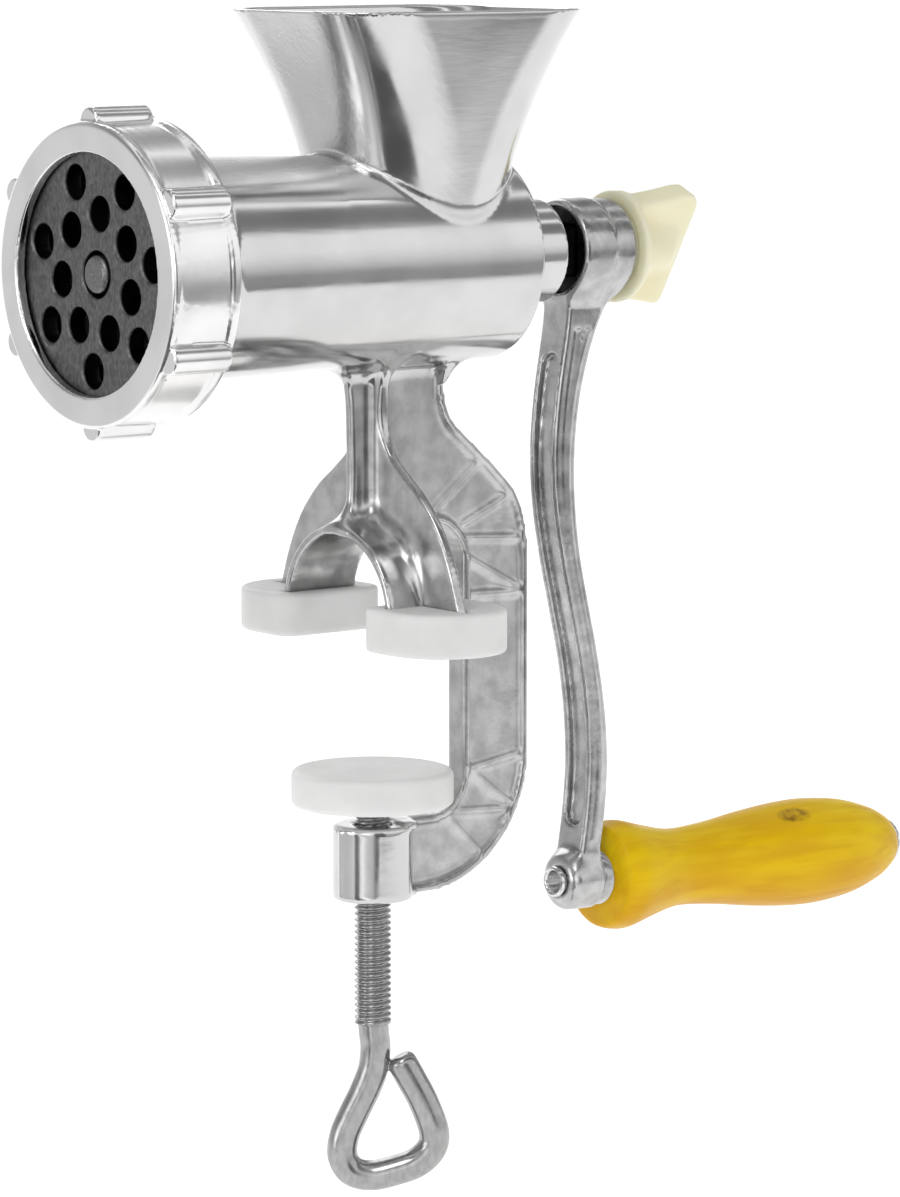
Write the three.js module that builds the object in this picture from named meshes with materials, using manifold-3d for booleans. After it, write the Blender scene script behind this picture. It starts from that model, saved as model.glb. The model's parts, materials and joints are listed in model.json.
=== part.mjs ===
// Hand-cranked meat grinder with a table clamp, in millimetres, +Z up.
// The origin lies on the table top, on the axis of the clamp screw. The outlet faces -X, the crank is at +X,
// and the two feet stand at +Y and -Y.
import * as THREE from 'three';
import { mergeVertices } from 'three/addons/utils/BufferGeometryUtils.js';
import Module from 'manifold-3d';

const wasm = await Module();
wasm.setup();

// ---- Driving dimensions ----
const FIT_GAP = 0.3;            // between pieces that are cut by, or rest on, each other
const RUNNING_GAP = 0.1;        // radial play of the turning pieces
const AXIS_Z = 91.5;            // height of the grinding axis above the table
const ROUND = 44;               // sides of a large circle
const SMALL_ROUND = 20;         // sides of a small circle

const PLATE_FRONT_X = -80.1;
const PLATE_THICKNESS = 5;
const PLATE_RADIUS = 31;
const PLATE_HOLE_RADIUS = 4.15;
const PLATE_EYE_RADIUS = 5.5;
const HOLES_PER_RING = 7;
const HOLE_RINGS = [{ radius: 14.1, phase: 84.5 }, { radius: 22.5, phase: 111.5 }];
const KEY_PHASE = -71;          // degrees round the axis, where the key pin sits
const KEY_CIRCLE = 30.2;
const KEY_RADIUS = 1.6;

const NOSE_RADIUS = 33;         // crest of the nose thread
const NOSE_FRONT_X = -79.6;
const NOSE_SEAT_RADIUS = PLATE_RADIUS + FIT_GAP;
const NOSE_SEAT_X = PLATE_FRONT_X + PLATE_THICKNESS + FIT_GAP;
const BORE_RADIUS = 22.6;
const BORE_END_X = 26;
const BARREL_RADIUS = 25.4;
const BARREL_FRONT_RADIUS = 26.4;
const BARREL_END_X = 33.2;
const COLLAR_RADIUS = 12.7;
const COLLAR_END_X = 51.2;
const JOURNAL_RADIUS = 8.5;
const BUSH_WALL = 1.9;
const BUSH_SEAT_RADIUS = JOURNAL_RADIUS + RUNNING_GAP + BUSH_WALL + 0.1;

const RING_FRONT_X = -83.2;
const RING_REAR_X = -64.5;
const RING_LIP_X = PLATE_FRONT_X - FIT_GAP;
const RING_MOUTH_RADIUS = 28.1;
const RING_LUGS = 6;
const LUG_RADIUS = 4.3;
const LUG_CIRCLE = 34.3;

const HOPPER_X = 10.8;
const HOPPER_BASE_Z = 92;
const HOPPER_FLARE_Z = 100;
const HOPPER_RIM_Z = 151.2;
const HOPPER_WALL = 2.4;

const ARCH_CENTRE_Z = 7;
const ARCH_RADIUS = 19;
const ARCH_WALL = 2.3;
const ARCH_FRONT_X = -11;
const ARCH_REAR_X = 9.5;
const FOOT_BASE_Z = 4.2;
const PLATE_LEG_X = [-1.3, 1.3];
const PLATE_FOOT_Y = 36.9;      // half the bell-shaped plate's width at the feet

const FRAME_INNER_X = 25.9;
const FRAME_OUTER_X = 46.2;
const FRAME_INNER_HALF = 8.3;
const FRAME_OUTER_HALF = 5.5;
const FRAME_FLANGE = 1.9;
const FRAME_CORNER = 10;
const FRAME_TOP_Z = 27.2;
const BOSS_TOP_Z = -44.3;
const BOSS_BASE_Z = -63.4;
const BOSS_RADIUS = 9.7;
const WEB_HALF = 1.5;

const PAD_INNER_Y = 14;
const PAD_CORNER = 5.5;
const PAD_CENTRE_Y = 27;
const PAD_HALF_X = 15.5;
const PAD_HEIGHT = 10.5;

const THREAD_RADIUS = 4.55;
const THREAD_END_Z = -94;
const ROD_RADIUS = 3.75;
const CLAMP_PAD_RADIUS = 19.65;
const CLAMP_PAD_TOP_Z = -31.5;
const CLAMP_PAD_BASE_Z = -40.4;
const DISC_BASE_Z = -38.1;
const DISC_THICKNESS = 1.4;
const DISC_RADIUS = 13;
const RIVET_NECK = 3;
const RIVET_HEAD = 4.6;
const LOOP_TURN = -38.5;        // degrees about +Z at which the screw's loop stands

const HUB_RADIUS = 12.5;
const HUB_FRONT_X = 57;
const HUB_REAR_X = 73.4;
const SHANK_HALF = 5.9;         // half the width of the auger's square shank
const SHANK_END_X = 71;
const STUD_RADIUS = 4.2;
const STUD_X = [54, 89.6];
const ARM_HALF_WIDTH = 5.7;
const ARM_STEPS = 18;
const HANDLE_Z = -66;
const HANDLE_DROOP = 1;       // degrees by which the handle's axis sinks towards its free end
const LOWER_BOSS_RADIUS = 7.4;
const LOWER_BOSS_X = [58.3, 67.8];
const SPINDLE_RADIUS = 3.4;
const GRIP_FRONT_X = 71.4;
const GRIP_END_X = 170;

const KNOB_FRONT_X = 74.8;
const KNOB_END_X = 96.5;
const KNOB_FLANGE_RADIUS = 13.9;
const WING_HALF = 3.4;
const KNOB_TURN = 24;           // degrees about +X at which the wing stands

// ---- Materials ----
const metal = (color, roughness) => new THREE.MeshStandardMaterial({ color, roughness, metalness: 1 });
const plain = (color, roughness) => new THREE.MeshStandardMaterial({ color, roughness, metalness: 0 });
const polishedAluminium = metal(0xc9cbce, 0.22);
const castAluminium = metal(0xb9bbbe, 0.38);
const darkSteel = metal(0x5a5c5f, 0.42);
const zincSteel = metal(0xa9aba8, 0.35);
const brightSteel = metal(0xc4c6c9, 0.2);
const whitePlastic = plain(0xd8d9d8, 0.55);
const creamPlastic = plain(0xe9e3c4, 0.45);
const nylon = plain(0xdedccf, 0.5);
const yellowWood = plain(0xdca71c, 0.4);

// ---- Solids and meshes ----

// Signed volume of an indexed triangle list, to tell which way its faces point.
function signedVolume(positions, triangles) {
  const [a, b, c] = [new THREE.Vector3(), new THREE.Vector3(), new THREE.Vector3()];
  let volume = 0;
  for (let i = 0; i < triangles.length; i += 3) {
    a.fromArray(positions, triangles[i] * 3);
    b.fromArray(positions, triangles[i + 1] * 3);
    c.fromArray(positions, triangles[i + 2] * 3);
    volume += a.dot(b.cross(c)) / 6;
  }
  return volume;
}

// A closed geometry as a manifold solid with its faces pointing out.
function solid(geometry) {
  const bare = geometry.clone();
  bare.deleteAttribute('normal');
  bare.deleteAttribute('uv');
  const merged = mergeVertices(bare, 1e-4);
  const positions = merged.attributes.position.array;
  const index = merged.index.array;
  const kept = [];
  for (let i = 0; i < index.length; i += 3) {
    const [a, b, c] = [index[i], index[i + 1], index[i + 2]];
    if (a !== b && b !== c && c !== a) kept.push(a, b, c);
  }
  if (signedVolume(positions, kept) < 0) kept.reverse();
  return new wasm.Manifold(new wasm.Mesh({
    numProp: 3,
    vertProperties: new Float32Array(positions),
    triVerts: new Uint32Array(kept),
  }));
}

// A manifold solid as a geometry with flat faces.
function geometryOf(manifold) {
  const mesh = manifold.getMesh();
  const indexed = new THREE.BufferGeometry();
  indexed.setAttribute('position', new THREE.BufferAttribute(new Float32Array(mesh.vertProperties), 3));
  indexed.setIndex(new THREE.BufferAttribute(new Uint32Array(mesh.triVerts), 1));
  const faceted = indexed.toNonIndexed();
  faceted.computeVertexNormals();
  return faceted;
}

function named(name, manifold, material) {
  const mesh = new THREE.Mesh(geometryOf(manifold), material);
  mesh.name = name;
  return mesh;
}

const joinAll = (solids) => solids.reduce((whole, next) => whole.add(next));
const cutAll = (whole, cutters) => cutters.reduce((rest, cutter) => rest.subtract(cutter), whole);
const moved = (geometry, x, y, z) => geometry.translate(x, y, z);

// ---- Shapes ----

// Outline (y, z) drawn out along X.
function alongX(shape, x0, x1) {
  const geometry = new THREE.ExtrudeGeometry(shape, { depth: x1 - x0, bevelEnabled: false });
  const axes = new THREE.Matrix4().makeBasis(
    new THREE.Vector3(0, 1, 0), new THREE.Vector3(0, 0, 1), new THREE.Vector3(1, 0, 0));
  return solid(moved(geometry.applyMatrix4(axes), x0, 0, 0));
}

// Outline (x, z) drawn out along Y.
function alongY(shape, y0, y1) {
  const geometry = new THREE.ExtrudeGeometry(shape, { depth: y1 - y0, bevelEnabled: false });
  const axes = new THREE.Matrix4().makeBasis(
    new THREE.Vector3(1, 0, 0), new THREE.Vector3(0, 0, 1), new THREE.Vector3(0, -1, 0));
  return solid(moved(geometry.applyMatrix4(axes), 0, y1, 0));
}

// Outline (x, y) drawn out along Z.
function alongZ(shape, z0, z1) {
  const geometry = new THREE.ExtrudeGeometry(shape, { depth: z1 - z0, bevelEnabled: false });
  return solid(moved(geometry, 0, 0, z0));
}

// Profile of [radius, x] pairs turned about a line along X.
function turnedX(profile, z = AXIS_Z, y = 0, sides = ROUND) {
  const points = profile.map(([r, x]) => new THREE.Vector2(r, x));
  const geometry = new THREE.LatheGeometry(points, sides);
  return solid(moved(geometry.rotateZ(-Math.PI / 2), 0, y, z));
}

// Profile of [radius, z] pairs turned about a line along Z.
function turnedZ(profile, sides = ROUND) {
  const points = profile.map(([r, z]) => new THREE.Vector2(r, z));
  return solid(new THREE.LatheGeometry(points, sides).rotateX(Math.PI / 2));
}

const rodX = (radius, x0, x1, z = AXIS_Z, y = 0, sides = SMALL_ROUND) => turnedX(
  [[0, x0], [radius, x0], [radius, x1], [0, x1]], z, y, sides);
const rodZ = (radius, z0, z1, sides = SMALL_ROUND) => turnedZ(
  [[0, z0], [radius, z0], [radius, z1], [0, z1]], sides);

function block([x0, x1], [y0, y1], [z0, z1]) {
  const geometry = new THREE.BoxGeometry(x1 - x0, y1 - y0, z1 - z0);
  return solid(moved(geometry, (x0 + x1) / 2, (y0 + y1) / 2, (z0 + z1) / 2));
}

// Closed outline through a list of [u, v] points.
function outline(points) {
  return new THREE.Shape(points.map(([u, v]) => new THREE.Vector2(u, v)));
}

// Points of a smooth curve through [u, v] stations.
function smooth(stations, steps) {
  const curve = new THREE.SplineCurve(stations.map(([u, v]) => new THREE.Vector2(u, v)));
  return curve.getPoints(steps).map((point) => [point.x, point.y]);
}

// Points of an arc about [u, v], in degrees.
function arc([u, v], radius, from, to, steps) {
  return Array.from({ length: steps + 1 }, (_, i) => {
    const angle = THREE.MathUtils.degToRad(from + (to - from) * i / steps);
    return [u + radius * Math.cos(angle), v + radius * Math.sin(angle)];
  });
}

// A path moved sideways to its left by a distance.
function offsetPath(path, distance) {
  return path.map(([u, v], i) => {
    const before = path[Math.max(i - 1, 0)];
    const after = path[Math.min(i + 1, path.length - 1)];
    const length = Math.hypot(after[0] - before[0], after[1] - before[1]);
    return [u - distance * (after[1] - before[1]) / length, v + distance * (after[0] - before[0]) / length];
  });
}

// A band of even width lying to the left of a path, or to its right if the width is negative.
const band = (path, width) => outline([...path, ...offsetPath(path, width).reverse()]);

// A direction round the grinding axis: zero points to -Y and 90 degrees points up.
function aroundAxis(radius, degrees) {
  const angle = THREE.MathUtils.degToRad(degrees);
  return [-radius * Math.cos(angle), AXIS_Z + radius * Math.sin(angle)];
}

// ---- Body casting ----

function barrelOutside() {
  return turnedX([
    [0, NOSE_FRONT_X], [NOSE_RADIUS, NOSE_FRONT_X], [NOSE_RADIUS, -66.5], [28.4, -62.6],
    [BARREL_FRONT_RADIUS, -57], [BARREL_RADIUS, -22], [BARREL_RADIUS, BARREL_END_X - 0.6],
    [BARREL_RADIUS - 0.6, BARREL_END_X], [COLLAR_RADIUS, BARREL_END_X], [COLLAR_RADIUS, COLLAR_END_X - 0.7],
    [COLLAR_RADIUS - 0.7, COLLAR_END_X], [0, COLLAR_END_X],
  ]);
}

function barrelInside() {
  return turnedX([
    [0, NOSE_FRONT_X - 1], [NOSE_SEAT_RADIUS, NOSE_FRONT_X - 1], [NOSE_SEAT_RADIUS, NOSE_SEAT_X],
    [BORE_RADIUS, NOSE_SEAT_X], [BORE_RADIUS, BORE_END_X],
    [BUSH_SEAT_RADIUS, BORE_END_X], [BUSH_SEAT_RADIUS, COLLAR_END_X + 1], [0, COLLAR_END_X + 1],
  ]);
}

// Half sizes and corner radius of the hopper's rounded-rectangle section at a height.
function hopperSection(z, inset) {
  const rise = THREE.MathUtils.clamp((z - HOPPER_FLARE_Z) / (HOPPER_RIM_Z - HOPPER_FLARE_Z), 0, 1.1);
  return {
    halfX: 22 + 16.5 * rise ** 1.9 - inset,
    halfY: 23.2 + 7.3 * rise ** 2.8 - inset,
    corner: 22 - 3 * rise - inset,
  };
}

// One ring of points round the hopper at a height.
function hopperRing(z, inset, perCorner) {
  const { halfX, halfY, corner } = hopperSection(z, inset);
  const ring = [];
  for (let quarter = 0; quarter < 4; quarter += 1) {
    const u = (quarter === 0 || quarter === 3 ? 1 : -1) * (halfX - corner);
    const v = (quarter < 2 ? 1 : -1) * (halfY - corner);
    ring.push(...arc([HOPPER_X + u, v], corner, quarter * 90, quarter * 90 + 90, perCorner));
  }
  return ring.map(([x, y]) => [x, y, z]);
}

// A closed solid through rings of equal length, with flat ends.
function loft(rings) {
  const count = rings[0].length;
  const positions = rings.flat(2);
  const index = [];
  for (let level = 0; level < rings.length - 1; level += 1) {
    for (let i = 0; i < count; i += 1) {
      const [a, b] = [level * count + i, level * count + (i + 1) % count];
      index.push(a, b, b + count, a, b + count, a + count);
    }
  }
  for (const [level, flip] of [[0, true], [rings.length - 1, false]]) {
    const middle = positions.length / 3;
    const ring = rings[level];
    const centre = [0, 1, 2].map((k) => ring.reduce((sum, point) => sum + point[k], 0) / count);
    positions.push(...centre);
    for (let i = 0; i < count; i += 1) {
      const [a, b] = [level * count + i, level * count + (i + 1) % count];
      index.push(...(flip ? [middle, b, a] : [middle, a, b]));
    }
  }
  const geometry = new THREE.BufferGeometry();
  geometry.setAttribute('position', new THREE.Float32BufferAttribute(positions, 3));
  geometry.setIndex(index);
  return solid(geometry);
}

function hopperSolid(inset, baseZ, topZ) {
  const levels = [baseZ, 106, 117, 127, 136, 144, topZ];
  return loft(levels.map((z) => hopperRing(z, inset, 7)));
}

const hopperOutside = () => hopperSolid(0, HOPPER_BASE_Z, HOPPER_RIM_Z);
const hopperInside = () => hopperSolid(HOPPER_WALL, AXIS_Z, HOPPER_RIM_Z + 0.5);

// Bell-shaped plate across the machine that spreads from the neck to the two feet.
function pedestalPlate() {
  const side = smooth([
    [12, 72], [7.4, 66.5], [5.6, 61], [5.4, 52.5], [8.2, 45.8], [13.8, 40.9], [20.6, 35.8],
    [26.9, 28.8], [31.8, 20], [PLATE_FOOT_Y - 1.3, 9.4], [PLATE_FOOT_Y, FOOT_BASE_Z],
  ], 16);
  const mirrored = side.map(([y, z]) => [-y, z]).reverse();
  return alongX(outline([...side, ...mirrored]), ...PLATE_LEG_X);
}

// Arch outline with straight legs, at a radius.
function archOutline(radius, baseZ) {
  return outline([[radius, baseZ], ...arc([0, ARCH_CENTRE_Z], radius, 0, 180, 20), [-radius, baseZ]]);
}

const archOutside = () => alongX(
  archOutline(ARCH_RADIUS + ARCH_WALL, FOOT_BASE_Z), ARCH_FRONT_X, ARCH_REAR_X);
const archInside = () => alongX(
  archOutline(ARCH_RADIUS, FOOT_BASE_Z - 1), ARCH_FRONT_X - 1, ARCH_REAR_X + 1);

// Rib in front of the neck, from the arch up to the barrel.
function neckRib() {
  const front = smooth([[-14, 68.5], [-9.2, 64.5], [-7.7, 59], [-7.2, 45], [-7.4, 34], [-8.8, 27.5]], 9);
  return alongY(outline([...front, [PLATE_LEG_X[1], 26.5], [PLATE_LEG_X[1], 68.5]]), -1.2, 1.2);
}

// Outer edge of the C-shaped frame, from the barrel round to the boss.
function frameOuterPath() {
  const shoulder = smooth([
    [23.4, 69.5], [20.4, 64], [20, 58.5], [22.4, 52], [28.6, 46.2], [35.8, 39.8], [42.2, 33], [45.2, 25],
    [FRAME_OUTER_X, 14],
  ], 16);
  return [...shoulder, ...arc([14, -31], FRAME_OUTER_X - 14, 0, -90, 10), [6, -31 - FRAME_OUTER_X + 14]];
}

// Inner edge of the frame, facing the table: over the arch, down the back and out to the boss.
function frameInnerPath() {
  const cornerX = FRAME_INNER_X - FRAME_CORNER;
  return [
    [ARCH_REAR_X - 2, FRAME_TOP_Z],
    ...arc([cornerX, FRAME_TOP_Z - FRAME_CORNER], FRAME_CORNER, 90, 0, 6),
    ...arc([cornerX, BOSS_TOP_Z + FRAME_CORNER], FRAME_CORNER, 0, -90, 6),
    [4, BOSS_TOP_Z],
  ];
}

function frameWeb() {
  const shape = outline([
    ...frameOuterPath(), ...frameInnerPath().reverse(), [PLATE_LEG_X[0], FRAME_TOP_Z], [PLATE_LEG_X[0], 68.5],
  ]);
  return alongY(shape, -WEB_HALF, WEB_HALF);
}

function frameFlanges() {
  const outerBand = band(frameOuterPath(), -FRAME_FLANGE);
  const innerBand = band(frameInnerPath(), FRAME_FLANGE);
  return [
    alongY(outerBand, -FRAME_OUTER_HALF, FRAME_OUTER_HALF),
    alongY(innerBand, -FRAME_INNER_HALF, FRAME_INNER_HALF),
  ];
}

// Low stiffening ribs on both faces of the web, as [from, to] in x and z.
function webRibs() {
  const ribs = [
    [[16, 29], [31.5, 41.4]], [[26.5, 26.2], [39.5, 31.8]], [[26.5, 22.8], [45.4, 21.6]],
    [[26.5, 18.6], [45.2, 8.6]], [[26.5, 8.8], [45.4, 8.2]], [[26.5, -34.6], [45.4, -31.8]],
    [[26, -32.5], [43.4, -46]], [[22, -44.2], [42.2, -45.4]], [[19.5, -43.4], [33.4, -57]],
  ];
  return ribs.map(([from, to]) => alongY(band([from, to], 1.7), -WEB_HALF - 1.3, WEB_HALF + 1.3));
}

function bodyCasting() {
  const boss = turnedZ([
    [0, BOSS_BASE_Z], [BOSS_RADIUS - 1, BOSS_BASE_Z], [BOSS_RADIUS, BOSS_BASE_Z + 1],
    [BOSS_RADIUS, BOSS_TOP_Z - 0.6], [BOSS_RADIUS - 0.6, BOSS_TOP_Z], [0, BOSS_TOP_Z],
  ], 32);
  const outside = joinAll([
    barrelOutside(), hopperOutside(), pedestalPlate(), archOutside(), neckRib(), frameWeb(),
    ...frameFlanges(), ...webRibs(), boss,
  ]);
  const [keyY, keyZ] = aroundAxis(KEY_CIRCLE, KEY_PHASE);
  const inside = [
    barrelInside(), hopperInside(), archInside(),
    rodZ(THREAD_RADIUS + RUNNING_GAP, BOSS_BASE_Z - 1, BOSS_TOP_Z + 1),
    rodX(KEY_RADIUS + 0.2, NOSE_FRONT_X - 1, -70, keyZ, keyY, 12),
  ];
  return named('body_casting', cutAll(outside, inside), polishedAluminium);
}

// ---- Outlet ----

function retainingRing() {
  const lip = RING_MOUTH_RADIUS;
  const bore = NOSE_RADIUS + FIT_GAP;
  const collar = turnedX([
    [lip, RING_LIP_X], [lip, RING_FRONT_X + 0.6], [lip + 0.6, RING_FRONT_X], [34.5, RING_FRONT_X],
    [35.4, RING_FRONT_X + 0.9], [35, -80.4], [35.2, -67.3], [36, -66.6], [36, RING_REAR_X],
    [bore, RING_REAR_X], [bore, RING_LIP_X], [lip, RING_LIP_X],
  ]);
  const lugs = Array.from({ length: RING_LUGS }, (_, i) => {
    const [y, z] = aroundAxis(LUG_CIRCLE, 90 + i * 360 / RING_LUGS);
    return turnedX([
      [0, -81.6], [LUG_RADIUS - 1.2, -81.6], [LUG_RADIUS, -80.4], [LUG_RADIUS, -65.2], [0, -65.2],
    ], z, y, 14);
  });
  const clear = turnedX([
    [0, RING_FRONT_X - 1], [lip + 3, RING_FRONT_X - 1], [lip + 3, RING_LIP_X], [bore, RING_LIP_X],
    [bore, RING_REAR_X + 1], [0, RING_REAR_X + 1],
  ]);
  return named('retaining_ring', collar.add(joinAll(lugs).subtract(clear)), polishedAluminium);
}

function outletPlate() {
  const rear = PLATE_FRONT_X + PLATE_THICKNESS;
  const disc = turnedX([
    [0, PLATE_FRONT_X], [PLATE_RADIUS - 0.4, PLATE_FRONT_X], [PLATE_RADIUS, PLATE_FRONT_X + 0.4],
    [PLATE_RADIUS, rear], [0, rear],
  ]);
  const cut = (radius, [y, z], sides) => rodX(radius, PLATE_FRONT_X - 1, rear + 1, z, y, sides);
  const ringOfHoles = ({ radius, phase }) => Array.from({ length: HOLES_PER_RING }, (_, i) => (
    cut(PLATE_HOLE_RADIUS, aroundAxis(radius, phase + i * 360 / HOLES_PER_RING), 16)));
  const holes = HOLE_RINGS.flatMap(ringOfHoles);
  const notch = [
    cut(KEY_RADIUS + 0.6, aroundAxis(KEY_CIRCLE, KEY_PHASE), 16),
    cut(KEY_RADIUS + 0.6, aroundAxis(KEY_CIRCLE + 1.6, KEY_PHASE), 16),
  ];
  const eye = cut(PLATE_EYE_RADIUS, [0, AXIS_Z], SMALL_ROUND);
  return named('outlet_plate', cutAll(disc, [...holes, ...notch, eye]), darkSteel);
}

function plateKeyPin() {
  const [y, z] = aroundAxis(KEY_CIRCLE, KEY_PHASE);
  return named('plate_key_pin', rodX(KEY_RADIUS, -79, -70.3, z, y, 12), brightSteel);
}

// Four-bladed knife that turns against the back of the plate.
function crossKnife() {
  const front = PLATE_FRONT_X + PLATE_THICKNESS + FIT_GAP;
  const rear = front + 4;
  const blade = outline([[-4.6, 0], [-4.6, 8], [-2.6, 21.2], [3.4, 21.6], [4.6, 8], [4.6, 0]]);
  const blades = [0, 90, 180, 270].map((turn) => alongX(blade, front, rear).rotate([turn, 0, 0]));
  const knife = joinAll([rodX(9.5, front, rear, 0), ...blades]).subtract(
    block([front - 1, rear + 1], [-4.7, 4.7], [-4.7, 4.7]));
  return named('cross_knife', knife.translate([0, 0, AXIS_Z]), brightSteel);
}

// ---- Auger ----

// Left-handed helical flight as one closed ribbon about the X axis.
function augerFlight() {
  const [x0, x1, pitch, stepsPerTurn] = [-66, 20, 27, 14];
  const steps = Math.round((x1 - x0) / pitch * stepsPerTurn);
  const rings = Array.from({ length: steps + 1 }, (_, i) => {
    const x = x0 + (x1 - x0) * i / steps;
    const angle = -i * 2 * Math.PI / stepsPerTurn;
    const corner = (radius, shift) => [x + shift, radius * Math.cos(angle), radius * Math.sin(angle)];
    return [corner(5, -2.4), corner(22.1, -1.2), corner(22.1, 1.2), corner(5, 2.4)];
  });
  return loft(rings);
}

function auger() {
  const core = turnedX([
    [0, -70.3], [9.4, -70.3], [8.2, -44], [8.2, 10], [9.5, 20], [9.5, 23.4], [JOURNAL_RADIUS, 23.4],
    [JOURNAL_RADIUS, 52.4], [0, 52.4],
  ], 0, 0, 32);
  const shank = block([50, SHANK_END_X], [-SHANK_HALF, SHANK_HALF], [-SHANK_HALF, SHANK_HALF]);
  const pinSocket = block([-71, -58], [-4.7, 4.7], [-4.7, 4.7]);
  const studBore = rodX(STUD_RADIUS + RUNNING_GAP, 47, SHANK_END_X + 1, 0);
  const screw = cutAll(joinAll([core, augerFlight(), shank]), [pinSocket, studBore]);
  return named('auger', screw.translate([0, 0, AXIS_Z]), castAluminium);
}

// Steel pin in the auger's front end: square where it carries the knife, round in the plate's eye.
function augerNosePin() {
  const square = block([-75, -58.4], [-4.4, 4.4], [-4.4, 4.4]);
  const profile = [[0, -80.7], [3.9, -80.7], [4.5, -80.1], [4.5, -74.5], [0, -74.5]];
  const round = turnedX(profile, 0, 0, SMALL_ROUND);
  return named('auger_nose_pin', square.add(round).translate([0, 0, AXIS_Z]), darkSteel);
}

function rearBush() {
  const inner = JOURNAL_RADIUS + RUNNING_GAP;
  const outer = BUSH_SEAT_RADIUS - 0.1;
  return named('rear_bush', turnedX([
    [inner, 23.7], [13, 23.7], [13, BORE_END_X - FIT_GAP], [outer, BORE_END_X - FIT_GAP],
    [outer, COLLAR_END_X - 1], [inner, COLLAR_END_X - 1], [inner, 23.7],
  ], AXIS_Z, 0, 32), nylon);
}

// ---- Crank ----

const armFrontStations = [
  [58, 84], [56.4, 71], [54, 57], [52.7, 43], [53.2, 30], [55.5, 16], [58.5, 3], [61.5, -10], [63.5, -23],
  [64.2, -36], [63.4, -48], [61.9, -58], [60.8, -66],
];
const armBackStations = [
  [73, 84], [66, 71], [61.6, 57], [59.7, 43], [59.8, 30], [61.5, 16], [64.4, 3], [67.4, -10], [69.6, -23],
  [70.5, -36], [69.8, -48], [68.2, -58], [67.2, -66],
];

// Long groove with round ends, sunk into one face of the arm.
function armGroove(stations, depth) {
  const path = smooth(stations, ARM_STEPS);
  const [halfWidth, topZ, baseZ] = [3.1, 63, -49];
  const slot = outline([
    ...arc([0, topZ], halfWidth, 0, 180, 6), ...arc([0, baseZ], halfWidth, 180, 360, 6),
  ]);
  const skin = outline([...offsetPath(path, -depth * 3), ...offsetPath(path, depth).reverse()]);
  return alongX(slot, 40, 90).intersect(alongY(skin, -9, 9));
}

function crankArm() {
  const lever = alongY(outline([
    ...smooth(armFrontStations, ARM_STEPS), ...smooth(armBackStations, ARM_STEPS).reverse(),
  ]), -ARM_HALF_WIDTH, ARM_HALF_WIDTH);
  const hub = turnedX([
    [0, HUB_FRONT_X], [HUB_RADIUS - 0.8, HUB_FRONT_X], [HUB_RADIUS, HUB_FRONT_X + 0.8], [HUB_RADIUS, 66.4],
    [HUB_RADIUS - 0.4, 66.8], [HUB_RADIUS - 0.4, HUB_REAR_X - 0.5], [HUB_RADIUS - 0.9, HUB_REAR_X],
    [0, HUB_REAR_X],
  ], AXIS_Z, 0, 40);
  const [frontX, rearX] = LOWER_BOSS_X;
  const boss = turnedX([
    [0, frontX], [LOWER_BOSS_RADIUS - 1.4, frontX], [LOWER_BOSS_RADIUS, frontX + 1.6],
    [LOWER_BOSS_RADIUS, rearX], [0, rearX],
  ], HANDLE_Z, 0, 28);
  const squareHalf = SHANK_HALF + FIT_GAP;
  const squareHeight = [AXIS_Z - squareHalf, AXIS_Z + squareHalf];
  const recessX = HUB_FRONT_X + 1.6;
  const cuts = [
    turnedX([
      [0, HUB_FRONT_X - 1], [HUB_RADIUS - 1.6, HUB_FRONT_X - 1], [HUB_RADIUS - 2, recessX], [0, recessX],
    ], AXIS_Z, 0, 40),
    block([HUB_FRONT_X, HUB_REAR_X + 1], [-squareHalf, squareHalf], squareHeight),
    drooped(rodX(SPINDLE_RADIUS + 0.2, frontX - 1, rearX + 1, HANDLE_Z)),
    armGroove(armFrontStations, 2),
    armGroove([...armBackStations].reverse(), 1.6),
  ];
  return named('crank_arm', cutAll(joinAll([lever, hub, drooped(boss)]), cuts), castAluminium);
}

function hubWasher() {
  return named('hub_washer', turnedX([
    [STUD_RADIUS + 0.4, HUB_REAR_X + FIT_GAP], [11, HUB_REAR_X + FIT_GAP], [11, KNOB_FRONT_X - 0.2],
    [STUD_RADIUS + 0.4, KNOB_FRONT_X - 0.2], [STUD_RADIUS + 0.4, HUB_REAR_X + FIT_GAP],
  ], AXIS_Z, 0, 32), brightSteel);
}

function knobStud() {
  return named('knob_stud', rodX(STUD_RADIUS, ...STUD_X), zincSteel);
}

// Wing knob: a round flange and a paddle that widens towards its slanted outer end.
function thumbKnob() {
  const wingRootX = KNOB_FRONT_X + 2;
  const flange = turnedX([
    [0, KNOB_FRONT_X], [KNOB_FLANGE_RADIUS, KNOB_FRONT_X], [KNOB_FLANGE_RADIUS, wingRootX],
    [KNOB_FLANGE_RADIUS - 1.6, wingRootX + 1.6], [0, wingRootX + 1.6],
  ], 0, 0, 36);
  const wing = alongY(outline([
    [wingRootX, -12], ...smooth([[wingRootX + 1, -12.2], [84, -13.4], [90.4, -15.2]], 5),
    ...arc([91.6, -13.2], 2.2, -90, 0, 4), ...arc([KNOB_END_X - 4.5, 11], 4.5, 0, 80, 5),
    ...smooth([[91, 15.2], [84, 13.4], [wingRootX + 1, 12.2]], 5), [wingRootX, 12],
  ]), -WING_HALF, WING_HALF);
  const bore = rodX(STUD_RADIUS + 0.1, KNOB_FRONT_X - 1, STUD_X[1] + FIT_GAP, 0);
  const root = turnedX([
    [0, wingRootX + 1], [9.5, wingRootX + 1], [7.4, 84], [6.2, 90.4], [5, 92.4], [0, 92.8],
  ], 0, 0, SMALL_ROUND);
  const knob = joinAll([flange, wing, root]).subtract(bore);
  return named('thumb_knob', knob.rotate([KNOB_TURN, 0, 0]).translate([0, 0, AXIS_Z]), creamPlastic);
}

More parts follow.
